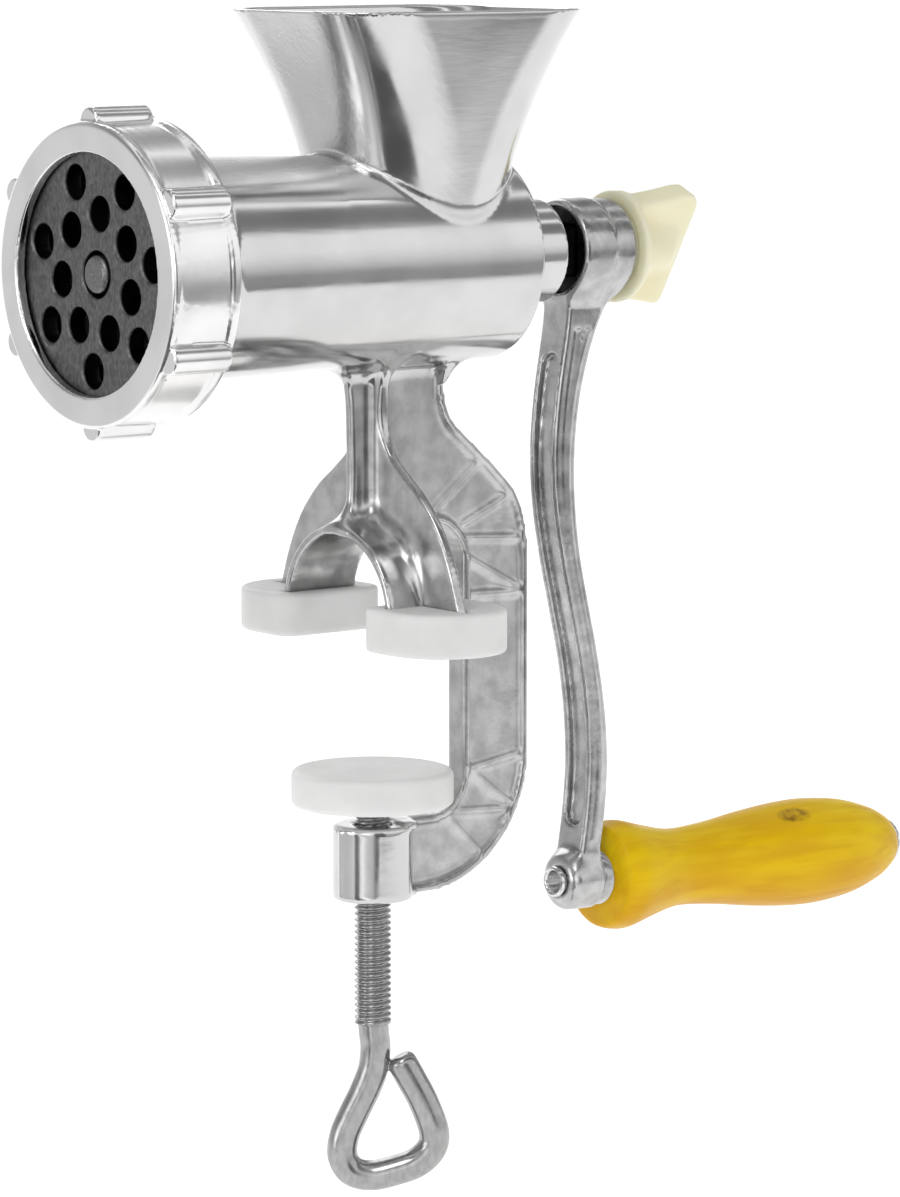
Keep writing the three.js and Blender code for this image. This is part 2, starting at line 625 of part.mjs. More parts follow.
// ---- Handle ----

// Tilts a handle part about the middle of the lower boss, so that its free end hangs a little.
function drooped(part) {
  const [x, z] = [(LOWER_BOSS_X[0] + LOWER_BOSS_X[1]) / 2, HANDLE_Z];
  return part.translate([-x, 0, -z]).rotate([0, HANDLE_DROOP, 0]).translate([x, 0, z]);
}

function handleGrip() {
  const shape = smooth([
    [13.5, 73.4], [13.7, 78], [11.7, 85.5], [10.1, 93], [9.85, 99], [10.7, 109], [12.3, 121], [13.4, 133],
    [13.6, 143], [12.4, 154], [9.7, 163], [7, 168.4],
  ], 14);
  const bore = SPINDLE_RADIUS + RUNNING_GAP;
  return named('handle_grip', drooped(turnedX([
    [bore, GRIP_FRONT_X], [12.4, GRIP_FRONT_X], ...shape, [6, GRIP_END_X], [bore, GRIP_END_X],
    [bore, GRIP_FRONT_X],
  ], HANDLE_Z, 0, 28)), yellowWood);
}

// Spindle with a flared hollow end in front of the lower boss.
function handleSpindle() {
  return named('handle_spindle', drooped(turnedX([
    [0, 64], [2.5, 63.4], [2.5, 56.8], [3.3, 56.5], [3.9, 57], [3.9, 57.7],
    [SPINDLE_RADIUS, LOWER_BOSS_X[0] - 0.3],
    [SPINDLE_RADIUS, GRIP_END_X - 1], [0, GRIP_END_X - 1],
  ], HANDLE_Z, 0, SMALL_ROUND)), brightSteel);
}

function handleWasher() {
  const bore = SPINDLE_RADIUS + 0.2;
  const [front, rear] = [LOWER_BOSS_X[1] + FIT_GAP, GRIP_FRONT_X - FIT_GAP];
  return named('handle_washer', drooped(turnedX([
    [bore, front], [6.6, front], [6.9, front + 1.3], [6.9, rear], [bore, rear], [bore, front],
  ], HANDLE_Z, 0, 24)), castAluminium);
}

function handleEndCap() {
  return named('handle_end_cap', drooped(turnedX([
    [0, GRIP_END_X + FIT_GAP], [5.6, GRIP_END_X + FIT_GAP], [5.9, GRIP_END_X + 0.6], [5.4, GRIP_END_X + 1.3],
    [3, GRIP_END_X + 1.9], [0, GRIP_END_X + 2.1],
  ], HANDLE_Z, 0, 24)), brightSteel);
}

// ---- Feet ----

// D-shaped pad with a socket that takes the end of one leg; side is +1 or -1.
function footPad(name, side) {
  const shape = outline([
    ...arc([PAD_HALF_X - PAD_CORNER, PAD_INNER_Y + PAD_CORNER], PAD_CORNER, -90, 0, 4),
    ...arc([0, PAD_CENTRE_Y], PAD_HALF_X, 0, 180, 18),
    ...arc([PAD_CORNER - PAD_HALF_X, PAD_INNER_Y + PAD_CORNER], PAD_CORNER, 180, 270, 4),
  ]);
  const inset = offsetPath(shape.getPoints().map((point) => [point.x, point.y]), 0.7);
  const body = alongZ(shape, 0.6, PAD_HEIGHT - 0.6).add(alongZ(outline(inset), 0, PAD_HEIGHT));
  const depth = [FOOT_BASE_Z - FIT_GAP, PAD_HEIGHT + 1];
  const wallSlot = block([ARCH_FRONT_X - FIT_GAP, ARCH_REAR_X + FIT_GAP],
    [ARCH_RADIUS - FIT_GAP - 0.5, ARCH_RADIUS + ARCH_WALL + FIT_GAP], depth);
  const plateSlot = block([PLATE_LEG_X[0] - FIT_GAP, PLATE_LEG_X[1] + FIT_GAP],
    [ARCH_RADIUS + ARCH_WALL, PLATE_FOOT_Y + 0.5], depth);
  const pad = cutAll(body, [wallSlot, plateSlot]);
  return named(name, side > 0 ? pad : pad.mirror([0, 1, 0]), whitePlastic);
}

// ---- Clamp ----

function clampPad() {
  const [base, top, rim] = [CLAMP_PAD_BASE_Z, CLAMP_PAD_TOP_Z, CLAMP_PAD_RADIUS];
  const [neck, seat] = [THREAD_RADIUS + 0.4, DISC_RADIUS + 0.2];
  const [seatBase, seatTop] = [DISC_BASE_Z - 0.2, DISC_BASE_Z + DISC_THICKNESS + 0.2];
  const body = turnedZ([
    [0, base], [rim - 1.2, base], [rim, base + 1.4], [rim, top - 1.2], [rim - 0.9, top], [0, top],
  ], 40);
  const socket = turnedZ([
    [0, base - 1], [neck, base - 1], [neck, seatBase], [seat, seatBase], [seat, seatTop],
    [RIVET_HEAD + 0.4, seatTop], [RIVET_HEAD + 0.4, -34.4], [0, -34.4],
  ], 24);
  return named('clamp_pad', body.subtract(socket), whitePlastic);
}

function swivelDisc() {
  const top = DISC_BASE_Z + DISC_THICKNESS;
  return named('clamp_swivel_disc', turnedZ([
    [RIVET_NECK + 0.3, DISC_BASE_Z], [DISC_RADIUS, DISC_BASE_Z], [DISC_RADIUS, top], [RIVET_NECK + 0.3, top],
    [RIVET_NECK + 0.3, DISC_BASE_Z],
  ], 24), brightSteel);
}

// Threaded rod whose lower end is bent into a closed triangular loop.
function clampScrew() {
  const headBase = DISC_BASE_Z + DISC_THICKNESS + FIT_GAP;
  const shaft = turnedZ([
    [0, -98], [ROD_RADIUS, -98], [ROD_RADIUS, THREAD_END_Z - 0.8], [THREAD_RADIUS, THREAD_END_Z],
    [THREAD_RADIUS, DISC_BASE_Z - 0.5], [RIVET_NECK, DISC_BASE_Z - 0.5], [RIVET_NECK, headBase],
    [RIVET_HEAD, headBase], [RIVET_HEAD - 0.8, headBase + 1.4], [0, headBase + 1.4],
  ], SMALL_ROUND);
  const wire = new THREE.CatmullRomCurve3([
    [0, -95], [0.6, -100.5], [0, -105.6], [-2, -111], [-4.6, -116.4], [-6.9, -121.8], [-7.5, -127],
    [-5.2, -131.2], [-0.4, -132.4], [5.6, -131], [10.8, -128.8], [14.3, -125.2], [14.8, -120.8],
    [12.3, -113.8], [9.2, -107.8], [6.5, -103],
  ].map(([u, z]) => new THREE.Vector3(u, 0, z)));
  const section = outline(arc([0, 0], ROD_RADIUS, 0, 324, 9));
  const sweep = { extrudePath: wire, steps: 34, bevelEnabled: false };
  const bent = solid(new THREE.ExtrudeGeometry(section, sweep));
  return named('clamp_screw', shaft.add(bent).rotate([0, 0, LOOP_TURN]), zincSteel);
}

// ---- Assembly ----

const grinder = new THREE.Group();
grinder.add(
  bodyCasting(), retainingRing(), outletPlate(), plateKeyPin(),
  crossKnife(), auger(), augerNosePin(), rearBush(),
  crankArm(), hubWasher(), knobStud(), thumbKnob(),
  handleGrip(), handleSpindle(), handleWasher(), handleEndCap(),
  footPad('foot_pad_left', 1), footPad('foot_pad_right', -1),
  clampPad(), swivelDisc(), clampScrew(),
);

export default grinder;
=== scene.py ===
import math

import bpy
import numpy as np
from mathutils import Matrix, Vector
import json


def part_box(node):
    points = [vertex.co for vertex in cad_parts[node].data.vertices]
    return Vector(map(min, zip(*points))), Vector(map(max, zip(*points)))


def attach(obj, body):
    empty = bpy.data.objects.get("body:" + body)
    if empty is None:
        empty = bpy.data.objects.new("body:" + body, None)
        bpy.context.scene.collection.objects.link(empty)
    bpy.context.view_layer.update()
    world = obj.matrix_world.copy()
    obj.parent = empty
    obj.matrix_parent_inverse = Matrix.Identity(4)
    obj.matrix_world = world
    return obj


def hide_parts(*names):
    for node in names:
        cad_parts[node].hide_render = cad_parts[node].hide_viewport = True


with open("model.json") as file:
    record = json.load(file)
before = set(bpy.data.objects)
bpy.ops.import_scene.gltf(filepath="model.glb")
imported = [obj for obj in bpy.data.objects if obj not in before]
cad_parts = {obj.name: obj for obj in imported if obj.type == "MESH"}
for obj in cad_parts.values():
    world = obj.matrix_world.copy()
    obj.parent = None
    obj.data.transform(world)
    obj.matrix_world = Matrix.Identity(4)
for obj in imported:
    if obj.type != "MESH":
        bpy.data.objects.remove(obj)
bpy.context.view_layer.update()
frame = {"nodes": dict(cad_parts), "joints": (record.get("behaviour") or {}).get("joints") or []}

# Lengths are in millimetres in the CAD's own frame, and become metres when a mesh is made. The places of the
# camera and the lights are in metres.
MM = 0.001
JOINTS = {joint["name"]: joint for joint in frame["joints"]}
AXIS_Z = JOINTS["crank_spin"]["pos_m"][2] / MM  # height of the grinding axis, which runs along X


def extent(node):
    """Lowest and highest corner of a CAD node, in millimetres."""
    low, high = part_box(node)
    return np.array(low) / MM, np.array(high) / MM


def add_object(name, data):
    made = bpy.data.objects.new(name, data)
    bpy.context.scene.collection.objects.link(made)
    return made


# ---- Camera ----

CAMERA_PLACE = Vector((-0.8034, -1.0383, 0.1827))
VIEW_AZIMUTH = 38.55  # degrees from +Y towards +X that the camera looks along
VIEW_PITCH = 7.5  # degrees that it looks down
SENSOR_HEIGHT = 36.0
LENS = 165.41353
NEAREST, FARTHEST = 0.05, 60.0


def look_direction():
    azimuth, pitch = math.radians(VIEW_AZIMUTH), math.radians(VIEW_PITCH)
    level = math.cos(pitch)
    return Vector((math.sin(azimuth) * level, math.cos(azimuth) * level, -math.sin(pitch)))


def add_camera():
    data = bpy.data.cameras.new("camera")
    data.sensor_fit = "VERTICAL"
    data.sensor_height = SENSOR_HEIGHT
    data.lens = LENS
    data.clip_start, data.clip_end = NEAREST, FARTHEST
    camera = add_object("camera", data)
    camera.location = CAMERA_PLACE
    camera.rotation_euler = look_direction().to_track_quat("-Z", "Y").to_euler()
    bpy.context.scene.camera = camera


add_camera()


# ---- Distance fields ----
# A field holds, at each point of a grid, the distance in millimetres to a shape's surface, negative inside.

class Grid:
    """A box of evenly spaced points, as three arrays that combine by broadcasting."""

    def __init__(self, low, high, step):
        self.low, self.step = np.array(low, float) - 2 * step, step
        counts = np.ceil((np.array(high, float) + 2 * step - self.low) / step).astype(int) + 1
        self.shape = tuple(counts)
        x, y, z = (self.low[k] + step * np.arange(counts[k]) for k in range(3))
        self.x, self.y, self.z = x[:, None, None], y[None, :, None], z[None, None, :]

    def from_axis(self):
        """Distance from the grinding axis."""
        return np.hypot(self.y, self.z - AXIS_Z)

    def round_axis(self):
        """Angle round the grinding axis."""
        return np.arctan2(self.z - AXIS_Z, self.y)

    def square_bar(self, half):
        """2-D field of a square bar along the grinding axis, half its width given."""
        return np.maximum(np.abs(self.y), np.abs(self.z - AXIS_Z)) - half


def node_grid(node, step):
    """A grid round a CAD node."""
    low, high = extent(node)
    return Grid(low, high, step)


def smooth_curve(stations, steps):
    """Points of an even Catmull-Rom curve through 2-D stations."""
    points = np.array(stations, float)
    padded = np.vstack([points[0], points, points[-1]])
    made = []
    for i in range(steps + 1):
        place = i / steps * (len(points) - 1)
        k = min(int(place), len(points) - 2)
        t = place - k
        a, b, c, d = padded[k:k + 4]
        made.append(0.5 * (2 * b + (c - a) * t + (2 * a - 5 * b + 4 * c - d) * t ** 2
                           + (3 * b - a - 3 * c + d) * t ** 3))
    return [tuple(p) for p in made]


def arc(centre, radius, start, end, steps):
    """Points of a 2-D arc, in degrees."""
    angles = np.radians(np.linspace(start, end, steps + 1))
    return [(centre[0] + radius * math.cos(a), centre[1] + radius * math.sin(a)) for a in angles]


def stroke(points, u, v):
    """Squared distance from an open 2-D line."""
    nearest = np.inf
    for (u0, v0), (u1, v1) in zip(points, points[1:]):
        du, dv = u1 - u0, v1 - v0
        length2 = du * du + dv * dv
        if length2:
            along = np.clip(((u - u0) * du + (v - v0) * dv) / length2, 0, 1)
            nearest = np.minimum(nearest, (u - u0 - along * du) ** 2 + (v - v0 - along * dv) ** 2)
    return nearest


def polygon(points, u, v):
    """Field of a closed 2-D outline."""
    u, v = np.broadcast_arrays(u, v)
    inside = np.zeros(u.shape, bool)
    for (u0, v0), (u1, v1) in zip(points, points[1:] + points[:1]):
        if v0 != v1:
            inside ^= ((v0 > v) != (v1 > v)) & (u < u0 + (v - v0) * (u1 - u0) / (v1 - v0))
    return np.where(inside, -1.0, 1.0) * np.sqrt(stroke(points + points[:1], u, v))


def turned(profile, along, radius, step=0.2):
    """Field of a profile of (radius, place) pairs turned about a line."""
    outline = list(profile) + [(-r, p) for r, p in reversed(profile)]
    low = float(along.min())
    places = np.arange(low, along.max() + 2 * step, step)
    radii = np.arange(0, radius.max() + 2 * step, step)
    table = polygon(outline, radii[None, :], places[:, None]).astype(np.float32)
    i, j = np.broadcast_arrays((along - low) / step, radius / step)
    i0, j0 = np.minimum(i.astype(int), len(places) - 2), np.minimum(j.astype(int), len(radii) - 2)
    fi, fj = i - i0, j - j0
    near = table[i0, j0] * (1 - fj) + table[i0, j0 + 1] * fj
    far = table[i0 + 1, j0] * (1 - fj) + table[i0 + 1, j0 + 1] * fj
    return near * (1 - fi) + far * fi


def corner_field(u, v):
    """Field of the quarter where u and v are both negative."""
    return np.hypot(np.maximum(u, 0), np.maximum(v, 0)) + np.minimum(np.maximum(u, v), 0)


def slab(flat, along, low, high, edge=0.0):
    """A 2-D field drawn out along a line from low to high, with rounded edges."""
    end = np.abs(along - (low + high) / 2) - (high - low) / 2
    return corner_field(flat + edge, end + edge) - edge


def join(a, b, fillet=0.0):
    """Both shapes, with a fillet of about that size where they meet."""
    fillet = np.maximum(fillet, 1e-6)
    near = np.maximum(fillet - np.abs(a - b), 0) / fillet
    return np.minimum(a, b) - near * near * fillet / 4


def cut(a, b, edge=0.0):
    """Shape a without shape b, with an eased edge."""
    return -join(-a, b, edge)


def join_all(fields, fillet=0.0):
    """All the shapes, with fillets where they meet."""
    whole = fields[0]
    for field in fields[1:]:
        whole = join(whole, field, fillet)
    return whole


def sample(field, places):
    """Trilinear value of a field at places counted in grid steps."""
    base = np.clip(places.astype(int), 0, np.array(field.shape) - 2)
    part = places - base
    value = 0
    for corner in range(8):
        pick = np.array([corner >> 2 & 1, corner >> 1 & 1, corner & 1])
        weight = np.prod(np.where(pick, part, 1 - part), axis=1)
        value = value + weight * field[tuple((base + pick).T)]
    return value


def surface(field):
    """Points, in grid steps, and quads of the surface where a field is zero."""
    shape = np.array(field.shape)
    inside = field < 0
    cells, places, quads = [], [], []
    for axis in range(3):
        lower = [slice(None)] * 3
        upper = [slice(None)] * 3
        lower[axis], upper[axis] = slice(0, -1), slice(1, None)
        start = inside[tuple(lower)]
        base = np.argwhere(start != inside[tuple(upper)])
        if not len(base):
            continue
        step = np.eye(3, dtype=int)[axis]
        f0, f1 = field[tuple(base.T)], field[tuple((base + step).T)]
        place = base + step * (f0 / (f0 - f1))[:, None]
        other = np.eye(3, dtype=int)[[(axis + 1) % 3, (axis + 2) % 3]]
        ring = [base - other[0] - other[1], base - other[1], base, base - other[0]]
        numbers = [np.ravel_multi_index(tuple(cell.T), shape) for cell in ring]
        outward = start[tuple(base.T)]
        quad = np.stack(numbers, axis=1)
        quads.append(np.where(outward[:, None], quad, quad[:, ::-1]))
        cells += numbers
        places += [place] * 4
    used, slot = np.unique(np.concatenate(cells), return_inverse=True)
    places = np.concatenate(places)
    count = np.bincount(slot)
    points = np.stack([np.bincount(slot, places[:, k]) / count for k in range(3)], axis=1)
    faces = np.searchsorted(used, np.concatenate(quads))
    return points, faces


def settle(field, points, rounds=4):
    """Moves points along the field's slope onto the surface."""
    slopes = np.gradient(field)
    for _ in range(rounds):
        value = sample(field, points)
        slope = np.stack([sample(part, points) for part in slopes], axis=1)
        steep = np.maximum((slope ** 2).sum(axis=1), 0.05)
        move = -slope * (value / steep)[:, None]
        points = points + np.clip(move, -0.3, 0.3)
    return points


def relax(points, quads, rounds=7):
    """Evens out the ripples of a closed mesh of quads without shrinking it."""
    start, end = np.vstack([quads[:, [k, (k + 1) % 4]] for k in range(4)]).T
    count = np.bincount(start, minlength=len(points))[:, None]
    for pull in (0.5, -0.52) * rounds:
        total = np.stack([np.bincount(start, points[end, k], minlength=len(points)) for k in range(3)], 1)
        points = points + pull * (total / count - points)
    return points


def add_piece(name, points, faces, material, body, *nodes, sharp=40.0):
    """A smooth-shaded piece in metres that rides on a body and stands for CAD nodes."""
    mesh = bpy.data.meshes.new(name)
    mesh.from_pydata((np.array(points) * MM).tolist(), [], faces)
    mesh.validate()
    mesh.polygons.foreach_set("use_smooth", [True] * len(mesh.polygons))
    mesh.materials.append(material)
    piece = add_object(name, mesh)
    mesh.set_sharp_from_angle(angle=math.radians(sharp))
    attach(piece, body)
    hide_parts(*nodes)
    return piece


def add_field_piece(name, grid, field, material, body, *nodes):
    """A piece whose surface is where a field on a grid is zero."""
    field = np.broadcast_to(field, grid.shape).astype(np.float32)
    points, faces = surface(field)
    points = grid.low + grid.step * relax(settle(field, points), faces)
    return add_piece(name, points, faces.tolist(), material, body, *nodes, sharp=180.0)


class Line:
    """A line in space that profiles are turned about."""

    def __init__(self, origin, direction):
        self.origin = Vector(origin)
        self.axis = Vector(direction).normalized()
        self.across = self.axis.orthogonal().normalized()
        self.up = self.axis.cross(self.across)

    def point(self, radius, place, angle):
        """A point at that distance from the line, place along it and angle round it."""
        centre = self.origin + self.axis * place
        return tuple(centre + self.across * radius * math.cos(angle) + self.up * radius * math.sin(angle))


GRINDING_LINE = Line((0, 0, AXIS_Z), (1, 0, 0))
SCREW_LINE = Line((0, 0, 0), (0, 0, 1))


def lathe(name, profile, line, material, body, *nodes, sides=96):
    """A closed profile of (radius, place) pairs turned about a line."""
    points, rings = [], []
    for radius, place in profile:
        count = sides if radius else 1
        rings.append([len(points) + i % count for i in range(sides)])
        points += [line.point(radius, place, 2 * math.pi * i / sides) for i in range(count)]
    closed = profile[0] != profile[-1] and profile[0][0] > 0
    faces = []
    for k in range(len(rings) - (0 if closed else 1)):
        a, b = rings[k], rings[(k + 1) % len(rings)]
        for i in range(sides):
            j = (i + 1) % sides
            corners = [a[i], a[j], b[j], b[i]]
            corners = [c for n, c in enumerate(corners) if c not in corners[:n]]
            if len(corners) > 2:
                faces.append(corners)
    return add_piece(name, points, faces, material, body, *nodes)


def washer_section(bore, radius, low, high, ease=0.2):
    """Profile of a washer or, with no bore, of a pin, with an eased rim."""
    return [(bore, low), (radius - ease, low), (radius, low + ease), (radius, high - ease),
            (radius - ease, high), (bore, high)]


# ---- Finishes ----

class NodeTree:
    """Shortcuts for adding nodes to a material or to the world."""

    def __init__(self, owner):
        owner.use_nodes = True
        self.tree = owner.node_tree

    def plug(self, node, socket, value):
        """Sets a socket to a constant, or links another socket to it."""
        if isinstance(value, bpy.types.NodeSocket):
            self.tree.links.new(value, node.inputs[socket])
        else:
            node.inputs[socket].default_value = value

    def node(self, kind, **sockets):
        made = self.tree.nodes.new(kind)
        for socket, value in sockets.items():
            self.plug(made, socket.replace("_", " "), value)
        return made

    def calculate(self, operation, a, b=0.0):
        made = self.node("ShaderNodeMath")
        made.operation = operation
        self.plug(made, 0, a)
        self.plug(made, 1, b)
        return made.outputs[0]

    def times(self, product, *others):
        """The product of several values."""
        for other in others:
            product = self.calculate("MULTIPLY", product, other)
        return product

    def spread(self, value, low, high, start=0.3, end=0.7):
        """A value from start to end mapped smoothly onto low to high."""
        made = self.node("ShaderNodeMapRange", Value=value, From_Min=start, From_Max=end, To_Min=low,
                         To_Max=high)
        made.interpolation_type = "SMOOTHSTEP"
        return made.outputs["Result"]

    def past(self, value, start, end):
        """0 up to start and 1 from end on."""
        return self.spread(value, 0.0, 1.0, start, end)

    def short_of(self, value, start, end):
        """1 up to start and 0 from end on."""
        return self.spread(value, 1.0, 0.0, start, end)


class Finish(NodeTree):
    """A material built round one Principled shader, with procedural textures in the CAD's frame at rest."""

    def __init__(self, name, **sockets):
        self.material = bpy.data.materials.new(name)
        super().__init__(self.material)
        self.shader = self.tree.nodes["Principled BSDF"]
        self.place = self.node("ShaderNodeTexCoord").outputs["Object"]
        self.normal = None
        for socket, value in sockets.items():
            self.set(socket.replace("_", " "), value)

    def set(self, socket, value):
        self.plug(self.shader, socket, value)

    def noise(self, size, stretch=(1, 1, 1), detail=3.0, roughness=0.5):
        """Noise with lumps about that many millimetres across, longer along an axis whose stretch is more."""
        scale = [1 / (MM * size * s) for s in stretch]
        mapped = self.node("ShaderNodeMapping", Vector=self.place, Scale=scale)
        return self.node("ShaderNodeTexNoise", Vector=mapped.outputs["Vector"], Scale=1.0, Detail=detail,
                         Roughness=roughness).outputs["Fac"]

    def mix(self, factor, a, b):
        """Colour a where the factor is 0 and colour b where it is 1."""
        made = self.node("ShaderNodeMix")
        made.data_type = "RGBA"
        for socket, value in ((0, factor), (6, a), (7, b)):
            self.plug(made, socket, value)
        return made.outputs[2]

    def mottled(self, noise, a, b):
        """A colour that wanders from one to another with a noise."""
        return self.mix(self.spread(noise, 0.0, 1.0), a, b)

    def coat(self, colour, roughness):
        self.set("Base Color", colour)
        self.set("Roughness", roughness)

    def axis(self, name):
        """One coordinate in millimetres."""
        split = self.node("ShaderNodeSeparateXYZ", Vector=self.place)
        return self.times(split.outputs[name], 1 / MM)

    def distance(self, a, b):
        """Distance of a point from an axis, from its two coordinates across that axis."""
        squares = self.calculate("ADD", self.calculate("POWER", a, 2.0), self.calculate("POWER", b, 2.0))
        return self.calculate("SQRT", squares)

    def spot(self, centre, size):
        """1 inside an ellipsoid and 0 well outside it; centre and size in millimetres."""
        mapped = self.node("ShaderNodeMapping", Vector=self.place, Scale=[1 / (MM * s) for s in size],
                           Location=[-c / s for c, s in zip(centre, size)])
        length = self.node("ShaderNodeVectorMath", Vector=mapped.outputs["Vector"])
        length.operation = "LENGTH"
        return self.short_of(length.outputs["Value"], 0.7, 1.2)

    def bump(self, height, depth, strength=1.0):
        """Adds a bump of that depth in millimetres to the normal."""
        made = self.node("ShaderNodeBump", Height=height, Distance=depth * MM, Strength=strength)
        if self.normal:
            self.plug(made, "Normal", self.normal)
        self.normal = made.outputs["Normal"]
        self.set("Normal", self.normal)


def grey(value):
    return (value, value, value, 1.0)


def buffed_casting(name, low, high, sheen):
    """Aluminium buffed after casting, with soft waves and fine marks: finish, colour and roughness."""
    finish = Finish(name, Metallic=1.0)
    colour = finish.mottled(finish.noise(16), grey(low), grey(high))
    roughness = finish.spread(finish.noise(7, stretch=(3, 1, 1)), sheen, sheen + 0.08)
    finish.bump(finish.noise(26, detail=1), 0.35, 0.5)
    finish.bump(finish.noise(1.1, stretch=(6, 1, 1)), 0.010, 0.6)
    return finish, colour, roughness


def polished_casting(name, low, high, sheen):
    """Buffed aluminium with fine pits."""
    finish, colour, roughness = buffed_casting(name, low, high, sheen)
    finish.bump(finish.noise(0.8, detail=4), 0.012, 0.5)
    finish.coat(colour, roughness)
    return finish.material


def rough_places(finish):
    """Where the body is buffed less: below the barrel but for the boss, on the web, on the barrel's top."""
    x, y, z = (finish.axis(name) for name in "XYZ")
    side = finish.calculate("ABSOLUTE", y)
    column = finish.distance(x, y)
    boss = finish.times(finish.short_of(column, 10.2, 11.0), finish.short_of(z, -44.0, -40.0))
    below = finish.times(finish.short_of(z, 60.0, 67.0), finish.calculate("SUBTRACT", 1.0, boss))
    web = finish.times(finish.short_of(side, 1.9, 3.2), finish.past(x, 2.5, 6.0), below)
    strip = finish.times(finish.past(z, 112.0, 116.0), finish.short_of(side, 13.0, 15.0),
                         finish.short_of(x, -10.0, -8.0))
    return below, web, strip


def body_casting(name, low, high, sheen):
    """Buffed aluminium that is satin below the barrel, with cast grain on the web and the barrel's top."""
    finish, colour, roughness = buffed_casting(name, low, high, sheen)
    below, web, strip = rough_places(finish)
    cast = finish.mottled(finish.noise(5, detail=4), grey(0.42), grey(0.58))
    for place, more in ((below, 0.08), (web, 0.16), (strip, 0.16)):
        roughness = finish.calculate("ADD", roughness, finish.times(place, more))
    finish.coat(finish.mix(below, colour, cast), roughness)
    patches = finish.times(finish.past(finish.noise(11, detail=5), 0.48, 0.62), web)
    finish.bump(finish.times(below, finish.noise(9, detail=2)), 0.22, 0.5)
    finish.bump(finish.times(web, finish.noise(0.8, detail=4)), 0.05, 0.8)
    finish.bump(finish.times(patches, finish.noise(1.6)), 0.16, 0.8)
    finish.bump(finish.times(strip, finish.noise(1.2, detail=4)), 0.12, 0.8)
    return finish.material


EDGE_FADE = 0.3  # width over which a change of colour along X fades in


def painted_recess_shade(finish, start, end):
    """1 inside the hub's recess, between two places along X: where painted shade goes."""
    x = finish.axis("X")
    away = finish.distance(finish.axis("Y"), finish.calculate("SUBTRACT", finish.axis("Z"), AXIS_Z))
    return finish.times(finish.short_of(away, 10.7, 11.3), finish.past(x, start - EDGE_FADE, start),
                        finish.short_of(x, end, end + EDGE_FADE))


def tumbled_casting(name, low, high, recess_shade=None):
    """Aluminium as cast and tumbled: fine grain, shallow dents and perhaps painted shade, nearly black, in
    the hub's recess.
    """
    finish = Finish(name, Metallic=1.0)
    colour = finish.mottled(finish.noise(5, detail=5), grey(low), grey(high))
    if recess_shade:
        # Painted shade: the hub's recess is painted nearly black, standing in for the shadow there.
        colour = finish.mix(painted_recess_shade(finish, *recess_shade), colour, grey(0.02))
    finish.coat(colour, finish.spread(finish.noise(3.5, detail=4), 0.16, 0.30))
    finish.bump(finish.noise(9, detail=2), 0.28, 0.5)
    finish.bump(finish.noise(0.9, stretch=(1, 1, 2), detail=4), 0.035, 0.7)
    return finish.material


def turned_steel(name, low, high, roughness, depth=0.01, stretch=(1, 1, 1), size=0.5, painted_shade_past=None):
    """Machined or plated steel with fine marks, with painted shade, nearly black, past a place along X."""
    finish = Finish(name, Metallic=1.0)
    marks = finish.noise(size, stretch=stretch, detail=4)
    colour = finish.mottled(marks, grey(low), grey(high))
    if painted_shade_past is not None:
        # Painted shade: nearly black past that place, on the walls of the plate's holes and on its back.
        past = finish.past(finish.axis("X"), painted_shade_past, painted_shade_past + EDGE_FADE)
        colour = finish.mix(past, colour, grey(0.015))
    finish.coat(colour, finish.spread(finish.noise(4), roughness * 0.8, roughness * 1.25))
    finish.bump(marks, depth, 0.6)
    return finish.material


def moulded_plastic(name, colour, shade, roughness, glow, wave=0.12):
    """Slightly translucent plastic with a faint moulded texture and uneven tone."""
    finish = Finish(name, Metallic=0.0, Subsurface_Weight=glow, Subsurface_Scale=0.004,
                    Subsurface_Radius=(1.0, 0.9, 0.8))
    colour = finish.mottled(finish.noise(13), shade, colour)
    finish.coat(colour, finish.spread(finish.noise(6), roughness - 0.06, roughness + 0.06))
    finish.bump(finish.noise(0.7, detail=3), 0.004, 0.5)
    finish.bump(finish.noise(10, detail=1), wave, 0.4)
    return finish.material


BRIGHT_YELLOW = (0.87, 0.60, 0.0, 1)
DEEP_YELLOW = (0.74, 0.43, 0.0, 1)
GRAIN_BROWN = (0.50, 0.24, 0.0, 1)
SHADED_ORANGE = (0.52, 0.21, 0.0, 1)
KNOT_BROWN = (0.13, 0.045, 0.006, 1)


def lacquered_wood(name, knot):
    """Turned wood under glossy yellow lacquer, with long grain, orange streaks, one dark knot and painted
    shade in orange on its lower side.
    """
    finish = Finish(name, Metallic=0.0, Coat_Weight=0.08, Coat_Roughness=0.12, Specular_IOR_Level=0.15)
    grain = finish.noise(1.3, stretch=(26, 1, 1), detail=5)
    colour = finish.mottled(finish.noise(7, stretch=(5, 1, 1), detail=2), BRIGHT_YELLOW, DEEP_YELLOW)
    colour = finish.mix(finish.spread(grain, 0.0, 0.25, 0.45, 0.8), colour, GRAIN_BROWN)
    # Painted shade: the lower side of the grip is painted a deeper orange.
    shaded_low_side = finish.short_of(finish.axis("Z"), -80.0, -58.0)
    colour = finish.mix(finish.times(shaded_low_side, 0.55), colour, SHADED_ORANGE)
    dark = finish.times(finish.spot(knot, (5.0, 3.5, 1.8)), finish.spread(finish.noise(2.2), 0.1, 0.8))
    finish.coat(finish.mix(dark, colour, KNOT_BROWN), finish.spread(grain, 0.34, 0.46))
    finish.bump(grain, 0.012, 0.5)
    finish.bump(finish.noise(14, detail=1), 0.12, 0.4)
    return finish.material


